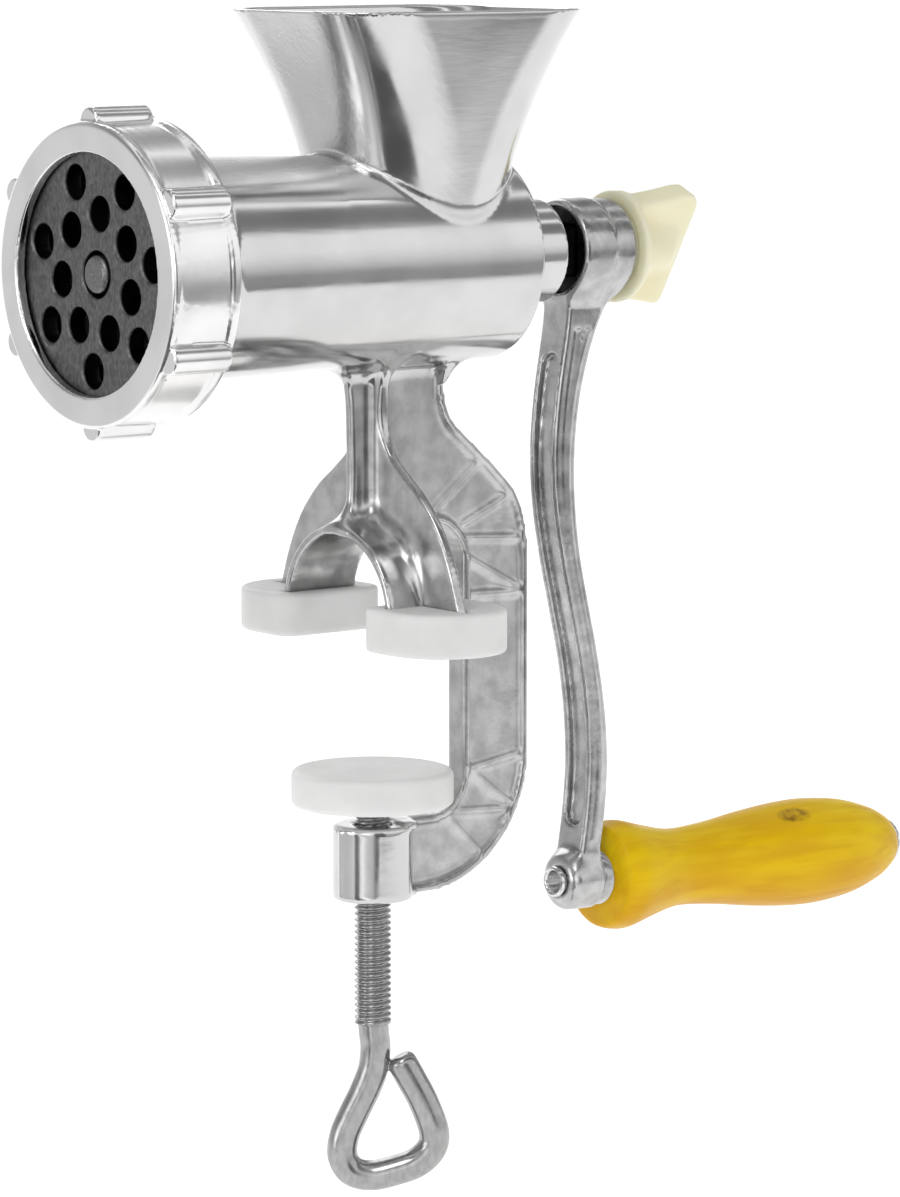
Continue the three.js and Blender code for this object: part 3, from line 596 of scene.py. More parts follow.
UPRIGHT = (1, 1, 2)  # marks that are longer along Z
CROSSWISE = (1, 6, 6)  # marks that are longer across X
# Past this place the plate is painted nearly black: painted shade inside its holes.
HOLE_SHADE_X = extent("outlet_plate")[0][0] + 0.6
POLISHED = polished_casting("polished_aluminium", 0.76, 0.85, 0.16)
POLISHED_BODY = body_casting("polished_casting", 0.60, 0.66, 0.10)
# The crank's hub recess, from X 50 to 60, gets painted shade, nearly black.
TUMBLED = tumbled_casting("tumbled_aluminium", 0.40, 0.56, recess_shade=(50, 60))
FEED_ALLOY = tumbled_casting("feed_screw_alloy", 0.10, 0.16)
DARK_STEEL = turned_steel("dark_plate_steel", 0.11, 0.19, 0.42, 0.02, UPRIGHT, 0.6, HOLE_SHADE_X)
PIN_STEEL = turned_steel("dark_pin_steel", 0.16, 0.26, 0.36, 0.015)
ZINC = turned_steel("zinc_plated_steel", 0.34, 0.42, 0.22, 0.006, UPRIGHT, 1.5)
BRIGHT = turned_steel("bright_steel", 0.62, 0.78, 0.18)
GROUND = turned_steel("ground_steel", 0.10, 0.16, 0.40, 0.01, CROSSWISE)
WHITE = moulded_plastic("white_plastic", (0.81, 0.81, 0.805, 1), (0.75, 0.75, 0.745, 1), 0.48, 0.35)
CREAM = moulded_plastic("cream_plastic", (0.95, 0.90, 0.66, 1), (0.94, 0.86, 0.60, 1), 0.34, 0.5, wave=0.03)
NYLON = moulded_plastic("nylon", (0.78, 0.76, 0.66, 1), (0.72, 0.70, 0.60, 1), 0.5, 0.2)
YELLOW = lacquered_wood("lacquered_wood", knot=(131.0, -7.0, -56.0))


# ---- Body casting ----

HOPPER_X = 10.8
HOPPER_WALL = 2.2
HOPPER_FOOT = (22.0, 22.4)  # half its size along X and Y where it meets the barrel
HOPPER_GROWTH = (16.5, 8.3)  # how much those grow up to the rim
HOPPER_CURVE = 1.9  # power that the growth along X follows
HOPPER_CORNER = (22.0, 3.0)  # radius of its corners there, and how much that shrinks up to the rim
FLARE_Z = 100.0  # where the hopper begins to flare
LEG_Z = 4.2  # underside of the feet
ARCH_Z = 7.0
ARCH_RADIUS = 19.0
ARCH_WALL = 2.3
SHOULDER_Z = 69.5  # top of the clamp frame, inside the barrel
FRAME_TOP_Z = 27.2  # upper and lower edge of the clamp frame's opening
FRAME_LOW_Z = -44.3
FRAME_FOOT_Z = -63.2
RIM = 1.9  # thickness of the flanges round the web
EASE = 0.94  # rounding of the flanges' edges
NOSE_PITCH = 3.0  # of the thread that the ring turns on
KEY_PIN_RADIUS = 1.6
SINK = 0.05  # how far the rim stays below the CAD's


def mirrored(side):
    return side + [(-u, v) for u, v in reversed(side)]


def hopper_field(g, inset, low, high):
    """The flared hopper as a rounded rectangle that grows towards the rim."""
    height = extent("body_casting")[1][2] - SINK - FLARE_Z
    rise = np.clip((g.z - FLARE_Z) / height, 0, 1.1)
    half_x = HOPPER_FOOT[0] + HOPPER_GROWTH[0] * rise ** HOPPER_CURVE - inset
    half_y = HOPPER_FOOT[1] + HOPPER_GROWTH[1] * rise - inset
    corner = HOPPER_CORNER[0] - HOPPER_CORNER[1] * rise - inset
    u = np.abs(g.x - HOPPER_X) - (half_x - corner)
    v = np.abs(g.y) - (half_y - corner)
    section = corner_field(u, v) - corner
    slope = HOPPER_GROWTH[0] * HOPPER_CURVE * rise ** (HOPPER_CURVE - 1) / height
    return np.maximum(section / np.sqrt(1 + slope ** 2), np.maximum(g.z - high, low - g.z))


def thread(angle, along, pitch, depth):
    """Height of a V thread at an angle round its axis and a place along it, from 0 to depth."""
    turn = (along / pitch - angle / (2 * math.pi)) % 1.0
    return depth * np.abs(2 * turn - 1)


def barrel_field(g):
    radius = g.from_axis()
    outside = turned([
        (0, -79.6), (33, -79.6), (33, -66.5), (28.4, -62.6), (26.4, -57), (25.4, -22), (25.4, 32.8),
        (25.0, 33.2), (12.7, 33.2), (12.7, 50.7), (12.2, 51.2), (0, 51.2),
    ], g.x, radius)
    near_nose = np.clip((-65.5 - g.x) / 1.5, 0, 1)
    return outside + near_nose * (radius > 30) * thread(g.round_axis(), g.x, NOSE_PITCH, 1.2)


def barrel_bore(g):
    return turned([
        (0, -81), (31.3, -81), (31.3, -74.8), (22.6, -74.8), (22.6, 26), (10.6, 26), (10.6, 53), (0, 53),
    ], g.x, g.from_axis())


def arch_distance(g):
    """2-D distance from the arch's centre line, with straight legs below its centre."""
    return np.hypot(g.y, np.maximum(g.z - ARCH_Z, 0))


def pedestal_field(g):
    """The front plate and its rib, which stand on an arch with two legs."""
    side = smooth_curve([
        (12, 72), (7.4, 66.5), (5.6, 61), (5.4, 52.5), (8.2, 45.8), (13.8, 40.9), (20.6, 35.8),
        (26.9, 28.8), (31.8, 20), (35.6, 9.4), (36.9, LEG_Z),
    ], 120)
    plate = slab(polygon(mirrored(side), g.y, g.z), g.x, -1.3, 1.3, 0.9)
    wall = np.abs(arch_distance(g) - ARCH_RADIUS - ARCH_WALL / 2) - ARCH_WALL / 2
    arch = np.maximum(slab(wall, g.x, -11, 9.5, 0.8), LEG_Z - g.z)
    front = smooth_curve([(-14, 68.5), (-9.2, 64.5), (-7.7, 59), (-7.2, 45), (-7.4, 34), (-8.8, 27.5)], 60)
    rib = slab(polygon(front + [(0, 26.5), (0, 68.5)], g.x, g.z), g.y, -1.6, 1.6, 1.5)
    fillet = 1.2 + 5.8 * np.clip((g.z - 10) / 12, 0, 1)
    return np.maximum(join(join(plate, rib, 5.0), arch, fillet), LEG_Z - g.z)


def outer_frame_path():
    shoulder = smooth_curve([
        (23.4, SHOULDER_Z), (20.4, 64), (20, 58.5), (22.4, 52), (28.6, 46.2), (35.8, 39.8), (42.2, 33),
        (45.2, 25), (46.1, 17), (46.2, 9),
    ], 130)
    return shoulder + arc((14, FRAME_FOOT_Z + 32.2), 32.2, 0, -90, 80) + [(6, FRAME_FOOT_Z)]


def inner_frame_path():
    return ([(7.5, FRAME_TOP_Z)] + arc((15.9, FRAME_TOP_Z - 10), 10, 90, 0, 36)
            + arc((15.9, FRAME_LOW_Z + 10), 10, 0, -90, 36) + [(4, FRAME_LOW_Z)])


RIBS = [
    ((16, 29), (31.5, 41.4)), ((26.5, 26.2), (39.5, 31.8)), ((26.5, 22.8), (45.4, 21.6)),
    ((26.5, 18.6), (45.2, 8.6)), ((26.5, 8.8), (45.4, 8.2)), ((26.5, -34.6), (45.4, -31.8)),
    ((26, -32.5), (43.4, -46)), ((22, -44.2), (42.2, -45.4)), ((19.5, -43.4), (33.4, -57)),
]


def rib_field(g, start, end):
    """A low rounded ridge along a line in the web's plane."""
    return slab(np.sqrt(stroke([start, end], g.x, g.z)) - 0.85, g.y, -2.3, 2.3, 0.8)


def clamp_frame_field(g):
    """A thin web with a flange along its outer edge and a wider one along its inner edge."""
    outer, inner = outer_frame_path(), inner_frame_path()
    sheet = polygon(outer + inner[::-1] + [(-1.0, FRAME_TOP_Z), (-1.0, 68.5)], g.x, g.z)
    web = slab(sheet + 1.2, g.y, -1.5, 1.5)
    far = 1e3
    beyond = polygon(outer + [(-far, FRAME_FOOT_Z), (-far, SHOULDER_Z)], g.x, g.z)
    hollow = polygon(inner + [(-far, FRAME_LOW_Z), (-far, FRAME_TOP_Z)], g.x, g.z)
    inside_ends = np.maximum(4 - g.x, 0)
    rim = slab(np.maximum(np.maximum(beyond, -beyond - RIM), inside_ends), g.y, -5.5, 5.5, EASE)
    edge = slab(np.maximum(np.maximum(-hollow, hollow - RIM), inside_ends), g.y, -8.3, 8.3, EASE)
    frame_part = join(join(web, rim, 1.7), edge, 1.7)
    for start, end in RIBS:
        frame_part = join(frame_part, np.maximum(rib_field(g, start, end), sheet + 2.3), 1.0)
    return frame_part


def boss_field(g):
    """The boss that holds the screw, with its parting ridges."""
    boss = turned([(0, -63.4), (9.0, -63.4), (9.7, -62.7), (9.7, -45.6), (9.2, -45.0), (0, -45.0)],
                  g.z, np.hypot(g.x, g.y))
    parting = slab(np.maximum(np.abs(g.y) - 0.35, np.abs(g.x) - 9.9), g.z, -62.6, -45.8, 0.2)
    return join(boss, parting, 0.8)


def body_field(g):
    low, high = extent("body_casting")
    barrel, hopper = barrel_field(g), hopper_field(g, 0, AXIS_Z, high[2] - SINK)
    bead = np.hypot(barrel, hopper) - 0.7
    spout = join(join(barrel, hopper, 0.8), bead, 0.6)
    stand = join(pedestal_field(g), clamp_frame_field(g), 2.0)
    whole = join(join(spout, stand, 5.0), boss_field(g), 1.2)
    under_arch = np.maximum(slab(arch_distance(g) - ARCH_RADIUS, g.x, -12, 10.5), LEG_Z - 1 - g.z)
    whole = cut(whole, under_arch, 0.5)
    passage = join(barrel_bore(g), hopper_field(g, HOPPER_WALL, AXIS_Z, high[2] + 3), 1.5)
    whole = cut(whole, passage, 0.8)
    key_y, key_z = extent("plate_key_pin")[0][1:] + KEY_PIN_RADIUS
    whole = cut(whole, slab(np.hypot(g.y - key_y, g.z - key_z) - 1.8, g.x, -82, -70), 0.2)
    return cut(whole, slab(np.hypot(g.x, g.y) - 4.7, g.z, low[2] - 1, -43), 0.6)


def make_body():
    g = node_grid("body_casting", 0.6)
    add_field_piece("casting", g, body_field(g), POLISHED_BODY, "frame", "body_casting")


make_body()


# ---- Outlet ----

def spoke(radius, degrees):
    """A point (y, z) round the grinding axis: zero points to -Y and 90 degrees points up."""
    angle = math.radians(degrees)
    return -radius * math.cos(angle), AXIS_Z + radius * math.sin(angle)


LUG_COUNT = 6
LUG_CIRCLE = 35.0
RING_BORE = 33.3


def make_ring():
    g = node_grid("retaining_ring", 0.5)
    radius = g.from_axis()
    band = turned([
        (0, -83.1), (34.3, -83.1), (35.2, -82.5), (35.35, -81.8), (34.8, -80.2), (35.1, -67.4),
        (35.9, -66.6), (35.9, -64.9), (35.6, -64.5), (0, -64.5),
    ], g.x, radius)
    lugs = [
        turned([(0, -82.0), (3.2, -82.0), (3.6, -81.6), (3.6, -66.2), (3.2, -65.7), (0, -65.7)],
               g.x, np.hypot(g.y - y, g.z - z))
        for y, z in (spoke(LUG_CIRCLE, 90 + k * 360 / LUG_COUNT) for k in range(LUG_COUNT))
    ]
    whole = join(band, join_all(lugs), 0.5)
    hole = turned([
        (0, -86), (28.9, -86), (28.1, -82.7), (28.1, -80.4), (RING_BORE, -80.4), (RING_BORE, -62), (0, -62),
    ], g.x, radius)
    groove = radius - RING_BORE - thread(g.round_axis(), g.x, NOSE_PITCH, 0.9)
    hole = join(hole, np.maximum(groove, -80.0 - g.x), 0.3)
    add_field_piece("ring_nut", g, cut(whole, hole, 0.5), POLISHED, "ring", "retaining_ring")


HOLE_RINGS = ((14.1, 84.5), (22.5, 111.5))  # radius and first angle of each ring of holes
HOLES_PER_RING = 7
HOLE_RADIUS = 4.15
PLATE_RADIUS = 31.0
KEY_ANGLE = -71  # where the rim notch is


def make_plate():
    low, high = extent("outlet_plate")
    g = node_grid("outlet_plate", 0.4)
    face = g.from_axis() - PLATE_RADIUS
    holes = [spoke(radius, first + k * 360 / HOLES_PER_RING) + (HOLE_RADIUS,)
             for radius, first in HOLE_RINGS for k in range(HOLES_PER_RING)]
    holes += [(0, AXIS_Z, 5.5), spoke(30.2, KEY_ANGLE) + (2.2,), spoke(31.8, KEY_ANGLE) + (2.2,)]
    for y, z, radius in holes:
        face = np.maximum(face, radius - np.hypot(g.y - y, g.z - z))
    plate = slab(face, g.x, low[0], high[0], 0.35)
    add_field_piece("hole_plate", g, plate, DARK_STEEL, "plate", "outlet_plate")


def make_key_pin():
    low, high = extent("plate_key_pin")
    line = Line((0, *((low + high) / 2)[1:]), (1, 0, 0))
    lathe("key_pin", washer_section(0, KEY_PIN_RADIUS, low[0], high[0], ease=0.4), line, BRIGHT, "frame",
          "plate_key_pin", sides=64)


def make_nose_pin():
    g = node_grid("auger_nose_pin", 0.35)
    shaft = slab(g.square_bar(4.4), g.x, -75, extent("auger_nose_pin")[1][0], 0.3)
    nose = turned([(0, -80.7), (3.7, -80.7), (4.5, -79.9), (4.5, -74.5), (0, -74.5)], g.x, g.from_axis())
    dimple = turned([(0, -83), (2.6, -83), (0, -80.1)], g.x, g.from_axis())
    add_field_piece("nose_pin", g, cut(join(shaft, nose), dimple, 0.2), PIN_STEEL, "crank", "auger_nose_pin")


make_ring()
make_plate()
make_key_pin()
make_nose_pin()


# ---- Auger, bush and stud ----

AUGER_PITCH = 27.0
AUGER_ENDS = (-66.0, 20.0)
AUGER_RADIUS = 22.0
SHANK_HALF = 5.9  # half the width of the square that the crank sits on


def make_auger():
    low, high = extent("auger")
    g = node_grid("auger", 0.55)
    radius = g.from_axis()
    core = turned([
        (0, -70.3), (9.4, -70.3), (8.2, -44), (8.2, 10), (9.5, 20), (9.5, 23.2), (8.35, 23.2), (8.35, 52.4),
        (0, 52.4),
    ], g.x, radius)
    start, end = AUGER_ENDS
    turn = (g.x - start) / AUGER_PITCH + g.round_axis() / (2 * math.pi)
    half = 0.8 + (AUGER_RADIUS + 0.1 - radius) * 0.09
    blade = (np.abs(turn - np.round(turn)) * AUGER_PITCH - half) * 0.85
    ends = np.maximum(start - 1.5 - g.x, g.x - end - 1.5)
    blade = np.maximum(np.maximum(blade, radius - AUGER_RADIUS), ends)
    whole = join(join(core, blade, 2.5), slab(g.square_bar(SHANK_HALF), g.x, 50, high[0], 0.5), 0.6)
    socket = slab(g.square_bar(4.7), g.x, low[0] - 3, -58)
    bore = slab(radius - 4.3, g.x, 47, high[0] + 3)
    whole = np.maximum(cut(whole, join(socket, bore), 0.3), g.x - high[0])
    add_field_piece("feed_screw", g, whole, FEED_ALLOY, "crank", "auger")


def make_bush():
    low, high = extent("rear_bush")
    lathe("bush", [
        (8.6, low[0]), (12.6, low[0]), (13, low[0] + 0.4), (13, 25.7), (10.5, 25.7), (10.5, high[0] - 0.4),
        (10.1, high[0]), (8.6, high[0]),
    ], GRINDING_LINE, NYLON, "frame", "rear_bush")


def thread_share(place, low, high, pitch, turn):
    """Height of a thread at a part of a turn, from 0 at its root to 1 at its crest and at both ends."""
    wave = abs(2 * ((place / pitch - turn) % 1.0) - 1)
    height = 1.5 * wave - 0.25 if 0.17 < wave < 0.83 else round(wave)
    fade = min(1.0, (place - low) / pitch, max(0.0, (high - place) / pitch))
    return 1 - fade + fade * height


def threaded_bar(name, node, radii, low, high, pitch, line, material, body, ends=(), turns=32):
    """A bar with a real helical thread between low and high; ends continue it as (radius, place) pairs."""
    root, crest = radii
    steps = int((high - low) / pitch * 10)
    rows = [(None, low + (high - low) * k / steps) for k in range(steps + 1)] + list(ends)
    points, faces = [], []
    for radius, place in [(0.0, low)] + rows + [(0.0, rows[-1][1])]:
        for i in range(turns):
            r = radius
            if r is None:
                r = root + (crest - root) * thread_share(place, low, high, pitch, i / turns)
            points.append(line.point(r, place, 2 * math.pi * i / turns))
    for k in range(len(points) // turns - 1):
        for i in range(turns):
            j = (i + 1) % turns
            faces.append((k * turns + i, k * turns + j, (k + 1) * turns + j, (k + 1) * turns + i))
    return add_piece(name, points, faces, material, body, node)


def make_stud():
    low, high = extent("knob_stud")
    threaded_bar("stud", "knob_stud", (3.55, 4.15), low[0], high[0], 1.25, GRINDING_LINE, ZINC, "knob")


make_auger()
make_bush()
make_stud()


# ---- Crank ----

# Front and back edge of the lever along X, and the height of each pair.
LEVER_STATIONS = [
    (58, 73, 84), (56.4, 66, 71), (54, 61.6, 57), (52.7, 59.7, 43), (53.2, 59.8, 30), (55.5, 61.5, 16),
    (58.5, 64.4, 3), (61.5, 67.4, -10), (63.5, 69.6, -23), (64.2, 70.5, -36), (63.4, 69.8, -48),
    (61.9, 68.2, -58), (60.8, 67.2, -66),
]
GRIP_JOINT = JOINTS["grip_spin"]
HANDLE_AXIS = Vector(GRIP_JOINT["axis"]).normalized()
HANDLE_ORIGIN = Vector(GRIP_JOINT["pos_m"]) / MM
HANDLE_ORIGIN -= HANDLE_AXIS * HANDLE_ORIGIN.x / HANDLE_AXIS.x  # places along the axis start at X = 0
HANDLE_LINE = Line(HANDLE_ORIGIN, HANDLE_AXIS)
LEVER_HALF = 5.4  # half the lever's width along Y
SLOT_MIDDLE_Z = 7.0
SLOT_HALF = 56.0  # half the length of its groove
SLOT_RADIUS = 3.0
HUB_FACE_X = 73.4
GRIP_ENDS = (71.4, 168.6)


def handle_coordinates(g):
    """Place along the handle's own axis and distance from it."""
    dx, dz = g.x - HANDLE_ORIGIN.x, g.z - HANDLE_ORIGIN.z
    along = dx * HANDLE_AXIS.x + dz * HANDLE_AXIS.z
    return along, np.hypot(g.y, dz * HANDLE_AXIS.x - dx * HANDLE_AXIS.z)


def make_arm():
    g = node_grid("crank_arm", 0.5)
    front = smooth_curve([(front, z) for front, back, z in LEVER_STATIONS], 60)
    back = smooth_curve([(back, z) for front, back, z in LEVER_STATIONS], 60)
    side = polygon(front + back[::-1], g.x, g.z)
    lever = slab(side, g.y, -LEVER_HALF, LEVER_HALF, 1.5)
    ridge = LEVER_HALF + 0.45
    parting = np.maximum(slab(np.abs(side + 3.2) - 0.8, g.y, -ridge, ridge, 0.4), np.abs(g.z - 8) - 64)
    lever = join(lever, parting, 0.9)
    slot = np.hypot(g.y, np.maximum(np.abs(g.z - SLOT_MIDDLE_Z) - SLOT_HALF, 0)) - SLOT_RADIUS
    lever = cut(lever, np.maximum(slot, -(side + 1.9)), 1.0)
    hub = turned([
        (0, 57), (11.6, 57), (12.5, 57.9), (12.5, 66.3), (12.1, 66.8), (12.1, 72.8), (11.6, HUB_FACE_X),
        (0, HUB_FACE_X),
    ], g.x, g.from_axis())
    along, away = handle_coordinates(g)
    boss = turned([
        (0, 58.3), (4.6, 58.3), (6.3, 58.9), (7.2, 60.1), (7.4, 61.4), (7.4, 67.4), (7.0, 67.8), (0, 67.8),
    ], along, away)
    whole = join(join(lever, hub, 4.0), boss, 2.5)
    whole = np.maximum(whole, g.x - HUB_FACE_X)
    recess = turned([(0, 54), (10.9, 54), (10.6, 58.6), (0, 58.6)], g.x, g.from_axis())
    whole = cut(whole, join(recess, slab(g.square_bar(SHANK_HALF + 0.3), g.x, 50, 80)), 0.4)
    whole = cut(whole, slab(away - 3.6, along, 50, 75), 0.3)
    add_field_piece("crank_lever", g, whole, TUMBLED, "crank", "crank_arm")


KNOB_TILT = math.radians(24)


def make_knob():
    """A round flange with one flat wing across it."""
    g = node_grid("thumb_knob", 0.45)
    face = extent("thumb_knob")[0][0]
    across = g.y * math.cos(KNOB_TILT) + (g.z - AXIS_Z) * math.sin(KNOB_TILT)
    upward = -g.y * math.sin(KNOB_TILT) + (g.z - AXIS_Z) * math.cos(KNOB_TILT)
    radius = g.from_axis()
    flange = turned([(0, face), (13.6, face), (13.9, face + 0.4), (13.8, face + 1.4), (13.2, face + 2.2),
                     (12.2, face + 2.8), (0, face + 2.8)], g.x, radius)
    wing = polygon(
        [(face + 1, -12.9)] + smooth_curve([(face + 2, -13.0), (84, -13.9), (90.4, -15.2)], 12)
        + arc((91.6, -13.2), 2.2, -90, 0, 8) + arc((92.6, 11.4), 3.9, 0, 80, 12)
        + smooth_curve([(91, 15.2), (84, 13.9), (face + 2, 13.0)], 12) + [(face + 1, 12.9)], g.x, upward)
    wing = slab(wing, across, -3.4, 3.4, 1.0)
    root = turned([(0, face + 2), (9.5, face + 3), (7.4, 84), (6.2, 90.4), (5, 92.2), (0, 92.8)], g.x, radius)
    whole = np.maximum(join_all([flange, wing, root], 2.5), face - g.x)
    whole = cut(whole, slab(radius - 4.3, g.x, face - 3, 89.9), 0.3)
    add_field_piece("wing_knob", g, whole, CREAM, "knob", "thumb_knob")


def make_hub_washer():
    low, high = extent("hub_washer")
    section = washer_section(4.6, 11, low[0], high[0])
    lathe("washer", section, GRINDING_LINE, BRIGHT, "knob_slide", "hub_washer")


def handle_lathe(name, node, profile, material, body):
    return lathe(name, profile, HANDLE_LINE, material, body, node, sides=128)


def make_handle():
    front, end = GRIP_ENDS
    belly = smooth_curve([
        (12.9, 72.2), (13.5, 74.2), (13.6, 78), (11.7, 85.5), (10.1, 93), (9.85, 99), (10.7, 109),
        (12.3, 121), (13.4, 132.5), (13.55, 142), (12.4, 152.8), (9.9, 161.7), (7.6, 166.5), (6.2, 168.3),
    ], 120)
    front_face = [(3.5, front), (11.6, front), (12.4, front + 0.25)]
    grip = handle_lathe("grip", "handle_grip", front_face + belly + [(5.6, end), (3.5, end)], YELLOW, "grip")
    grip.visible_glossy = False     # keeps its yellow out of the metal's reflections
    handle_lathe("spindle", "handle_spindle", [
        (0, 64), (2.1, 63.6), (2.6, 62.8), (2.6, 57.3), (2.9, 56.7), (3.3, 56.5), (3.7, 56.7), (3.9, 57.2),
        (3.8, 57.7), (3.4, 58.0), (3.4, end - 1), (0, end - 1),
    ], BRIGHT, "crank")
    handle_lathe("ferrule", "handle_washer", [
        (3.6, 68.1), (6.3, 68.1), (6.7, 68.4), (6.9, 69.0), (6.9, 70.7), (6.6, 71.1), (3.6, 71.1),
    ], TUMBLED, "crank")
    handle_lathe("end_cap", "handle_end_cap", [
        (0, end + 0.3), (5.5, end + 0.3), (5.85, end + 0.55), (5.8, end + 0.9), (5.2, end + 1.4),
        (4.0, end + 1.75), (2.4, end + 1.95), (0, end + 2.0),
    ], BRIGHT, "crank")


make_arm()
make_knob()
make_hub_washer()
make_handle()


# ---- Feet and clamp ----

def make_foot_pad(name, node, side):
    g = node_grid(node, 0.5)
    depth = g.y * side
    shape = polygon(arc((10, 19.5), 5.5, -90, 0, 10) + arc((0, 27), 15.48, 0, 180, 60)
                    + arc((-10, 19.5), 5.5, 180, 270, 10), g.x, depth)
    pad = slab(shape, g.z, 0, extent(node)[1][2], 1.1)
    wall = np.maximum(np.abs(g.x + 0.75) - 10.5, np.abs(depth - 19.95) - 1.6)
    plate = np.maximum(np.abs(g.x) - 1.6, np.abs(depth - 29) - 8.5)
    slot = np.maximum(np.minimum(wall, plate), LEG_Z - 0.3 - g.z)
    add_field_piece(name, g, cut(pad, slot, 0.3), WHITE, "frame", node)


def make_clamp_pad():
    """A rounded disc with a socket for the swivel disc."""
    low, high = extent("clamp_pad")
    base, top, rim = low[2], high[2], high[0]
    round_edge = 1.6
    socket = [(5.0, base), (5.0, -38.4), (13.2, -38.4), (13.2, -36.5), (5.0, -36.5), (5.0, -34.6), (0, -34.6)]
    profile = (socket + [(0, top - 0.45), (rim - 4.5, top - 0.35)]
               + arc((rim - round_edge, top - round_edge), round_edge, 90, 0, 8)
               + arc((rim - round_edge, base + round_edge), round_edge, 0, -90, 8) + [(5.0, base)])
    lathe("press_pad", profile, SCREW_LINE, WHITE, "clamp", "clamp_pad", sides=160)


def make_disc():
    low, high = extent("clamp_swivel_disc")
    section = washer_section(3.3, 13, low[2], high[2])
    lathe("swivel_disc", section, SCREW_LINE, BRIGHT, "clamp", "clamp_swivel_disc")


LOOP_STATIONS = [
    (0, -93), (0.3, -97), (0.6, -100.5), (0, -105.6), (-2, -111), (-4.6, -116.4), (-6.9, -121.8),
    (-7.5, -127), (-5.2, -131), (-0.4, -132.1), (5.6, -130.8), (10.8, -128.8), (14.3, -125.2),
    (14.8, -120.8), (12.3, -113.8), (9.2, -107.8), (6.5, -103),
]
LOOP_TURN = math.radians(-38.5)
LOOP_STEPS = 90
TIP_START = 76  # step where the wire's last stretch begins
WIRE_RADIUS = 3.7
LOOP_TOP_Z = -93.5


def wire_field(line, u, w, z):
    """A round wire along a flat line, in the plane where w is 0."""
    return np.sqrt(stroke(line, u, z) + w * w) - WIRE_RADIUS


def loop_field(g):
    """The bent wire and, over its last stretch, the flat cut at its tip."""
    u = g.x * math.cos(LOOP_TURN) + g.y * math.sin(LOOP_TURN)
    w = -g.x * math.sin(LOOP_TURN) + g.y * math.cos(LOOP_TURN)
    line = smooth_curve(LOOP_STATIONS, LOOP_STEPS)
    (u0, z0), (u1, z1) = line[-2:]
    past_tip = ((u - u1) * (u1 - u0) + (g.z - z1) * (z1 - z0)) / math.hypot(u1 - u0, z1 - z0)
    tip = cut(wire_field(line[TIP_START:], u, w, g.z), 0.8 - past_tip, 2.6)
    return np.minimum(wire_field(line[:TIP_START + 1], u, w, g.z), tip)


def make_screw():
    low, high = extent("clamp_screw")
    g = Grid(low, (high[0], high[1], LOOP_TOP_Z + 1), 0.45)
    wire = np.maximum(loop_field(g), g.z - LOOP_TOP_Z)
    add_field_piece("screw_loop", g, wire, ZINC, "screw", "clamp_screw")
    swivel = [(3.0, -38.6), (3.0, -36.4), (4.4, -36.4), (4.0, -35.2), (3.4, -35.0)]
    threaded_bar("screw_thread", "clamp_screw", (3.75, 4.5), -94.0, -38.6, 1.5, SCREW_LINE, ZINC, "screw",
                 ends=swivel, turns=40)


make_foot_pad("foot_left", "foot_pad_left", 1)
make_foot_pad("foot_right", "foot_pad_right", -1)
make_clamp_pad()
make_disc()
make_screw()


# ---- Pieces kept from the CAD ----

def finish_cad_nodes():
    """Ground steel for the solids that no finer mesh stands for."""
    for node in frame["nodes"].values():
        if not node.hide_render:
            for slot in node.material_slots:
                slot.material = GROUND


finish_cad_nodes()


# ---- Studio ----

FLOOR_Z = -152.0
FLOOR_FRONT = -600.0
FLOOR_LEFT = -178.0
FLOOR_REACH = 30000.0
FLOOR_GLOW = 0.64


def add_floor():
    """A wide pale table top under the object, whose front and left edges are out of the camera's sight."""
    finish = Finish("pale_floor", Metallic=0.0, Roughness=0.9, Emission_Color=grey(1.0),
                    Emission_Strength=FLOOR_GLOW)
    finish.set("Base Color", finish.mix(finish.noise(400), grey(0.66), grey(0.70)))
    corners = [(FLOOR_LEFT, FLOOR_FRONT), (FLOOR_REACH, FLOOR_FRONT), (FLOOR_REACH, FLOOR_REACH),
               (FLOOR_LEFT, FLOOR_REACH)]
    mesh = bpy.data.meshes.new("floor")
    mesh.from_pydata([(x * MM, y * MM, FLOOR_Z * MM) for x, y in corners], [], [[0, 1, 2, 3]])
    mesh.materials.append(finish.material)
    floor = add_object("floor", mesh)


# Brightness of the studio by angle round the grinding axis, in degrees: -90 is straight down, 0 is the
# horizon in front, at -Y, 90 is overhead and 180 is the horizon behind.
SKY = (
    (-90, 0.10), (-36, 0.12), (-31, 0.95), (-22, 0.95), (-20, 0.28), (-15, 0.38), (-8, 0.38), (-1, 0.70),
    (7, 0.92), (16, 1.09), (35, 1.12), (38, 0.80), (42, 0.34), (51, 0.25), (62, 0.26), (66, 0.45), (69, 1.32),
    (72, 1.32), (76, 0.45), (80, 0.33), (92, 0.29), (98, 0.55), (102, 1.15), (106, 1.10), (112, 0.42),
    (133, 0.27), (145, 0.45), (155, 0.75), (166, 1.10), (173, 1.3), (180, 1.3),
)
SKY_START, SKY_SPAN = -90, 270
# Round places in the studio that are dimmer or brighter than their band: the direction of the middle, the
# angles from it where the change begins and where it is full, and the factor there.
SKY_PLACES = (
    ((-0.82, -0.56, -0.13), 24, 17, 1.8),
    ((-0.28, -0.96, 0.05), 22, 14, 0.25),
    ((-0.70, 0.70, -0.13), 52, 32, 0.55),
    ((-0.98, 0.18, 0.16), 16, 8, 6.0),
)


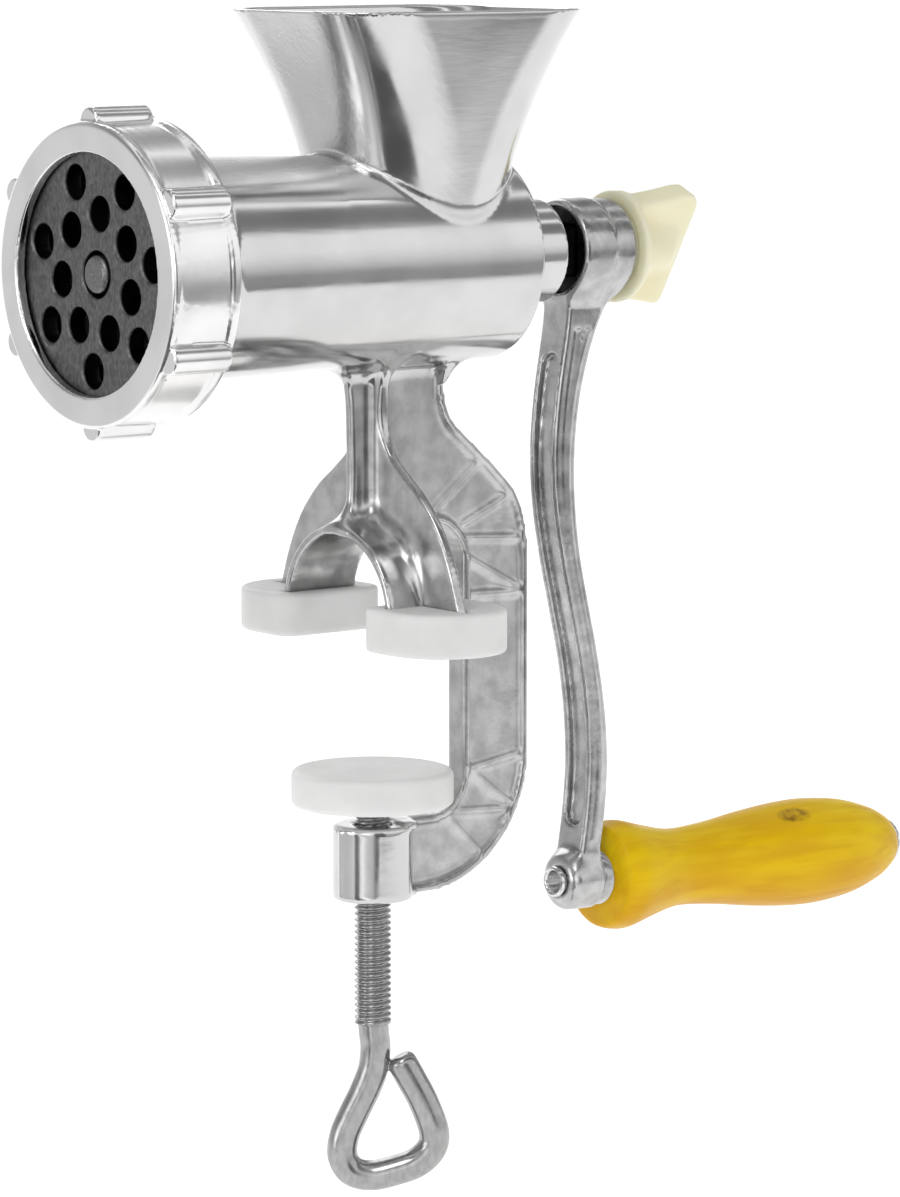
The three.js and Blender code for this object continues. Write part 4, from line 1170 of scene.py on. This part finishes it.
def sky_bands(studio, direction):
    """Colour of the studio in a direction, by its angle round the grinding axis."""
    split = studio.node("ShaderNodeSeparateXYZ", Vector=direction)
    angle = studio.calculate("ARCTAN2", split.outputs["Z"], studio.times(split.outputs["Y"], -1.0))
    turns = studio.calculate("SUBTRACT", studio.calculate("DIVIDE", angle, 2 * math.pi), SKY_START / 360)
    share = studio.times(studio.calculate("FLOORED_MODULO", turns, 1.0), 360 / SKY_SPAN)
    ramp = studio.node("ShaderNodeValToRGB", Fac=share)
    while len(ramp.color_ramp.elements) < len(SKY):
        ramp.color_ramp.elements.new(0.5)
    for element, (degrees, value) in zip(ramp.color_ramp.elements, SKY):
        element.position = (degrees - SKY_START) / SKY_SPAN
        element.color = grey(value)
    return ramp.outputs["Color"]


def sky_place(studio, direction, middle, wide, narrow, factor):
    """The factor near one place in the studio and 1 away from it."""
    facing = studio.node("ShaderNodeVectorMath")
    facing.operation = "DOT_PRODUCT"
    studio.plug(facing, 0, direction)
    studio.plug(facing, 1, Vector(middle).normalized())
    begin, full = (math.cos(math.radians(angle)) for angle in (wide, narrow))
    return studio.spread(facing.outputs["Value"], 1.0, factor, begin, full)


def add_sky():
    """Soft boxes with dark gaps between them, in front of a white backdrop that lights nothing."""
    world = bpy.data.worlds.new("studio")
    bpy.context.scene.world = world
    studio = NodeTree(world)
    direction = studio.node("ShaderNodeTexCoord").outputs["Generated"]
    strength = studio.times(*(sky_place(studio, direction, *place) for place in SKY_PLACES))
    lighting = studio.tree.nodes["Background"]
    studio.plug(lighting, "Color", sky_bands(studio, direction))
    studio.plug(lighting, "Strength", strength)
    backdrop = studio.node("ShaderNodeBackground", Color=grey(1.0))
    choice = studio.node("ShaderNodeMixShader")
    seen = studio.node("ShaderNodeLightPath").outputs["Is Camera Ray"]
    for socket, value in enumerate((seen, lighting.outputs[0], backdrop.outputs[0])):
        studio.plug(choice, socket, value)
    studio.plug(studio.tree.nodes["World Output"], "Surface", choice.outputs[0])


LIGHT_AIM = Vector((0.03, 0, 0.01))


def add_light(name, place, size, power):
    """A soft square light that faces the middle of the object."""
    data = bpy.data.lights.new(name, "AREA")
    data.shape = "SQUARE"
    data.size = size
    data.energy = power
    light = add_object(name, data)
    light.location = place
    light.rotation_euler = (LIGHT_AIM - Vector(place)).to_track_quat("-Z", "Y").to_euler()


bpy.context.scene.view_settings.view_transform = "Standard"
add_floor()
add_sky()
add_light("key", (-1.5, -0.8, 1.7), 1.0, 10)
add_light("back", (0.6, 1.8, 1.4), 1.4, 10)
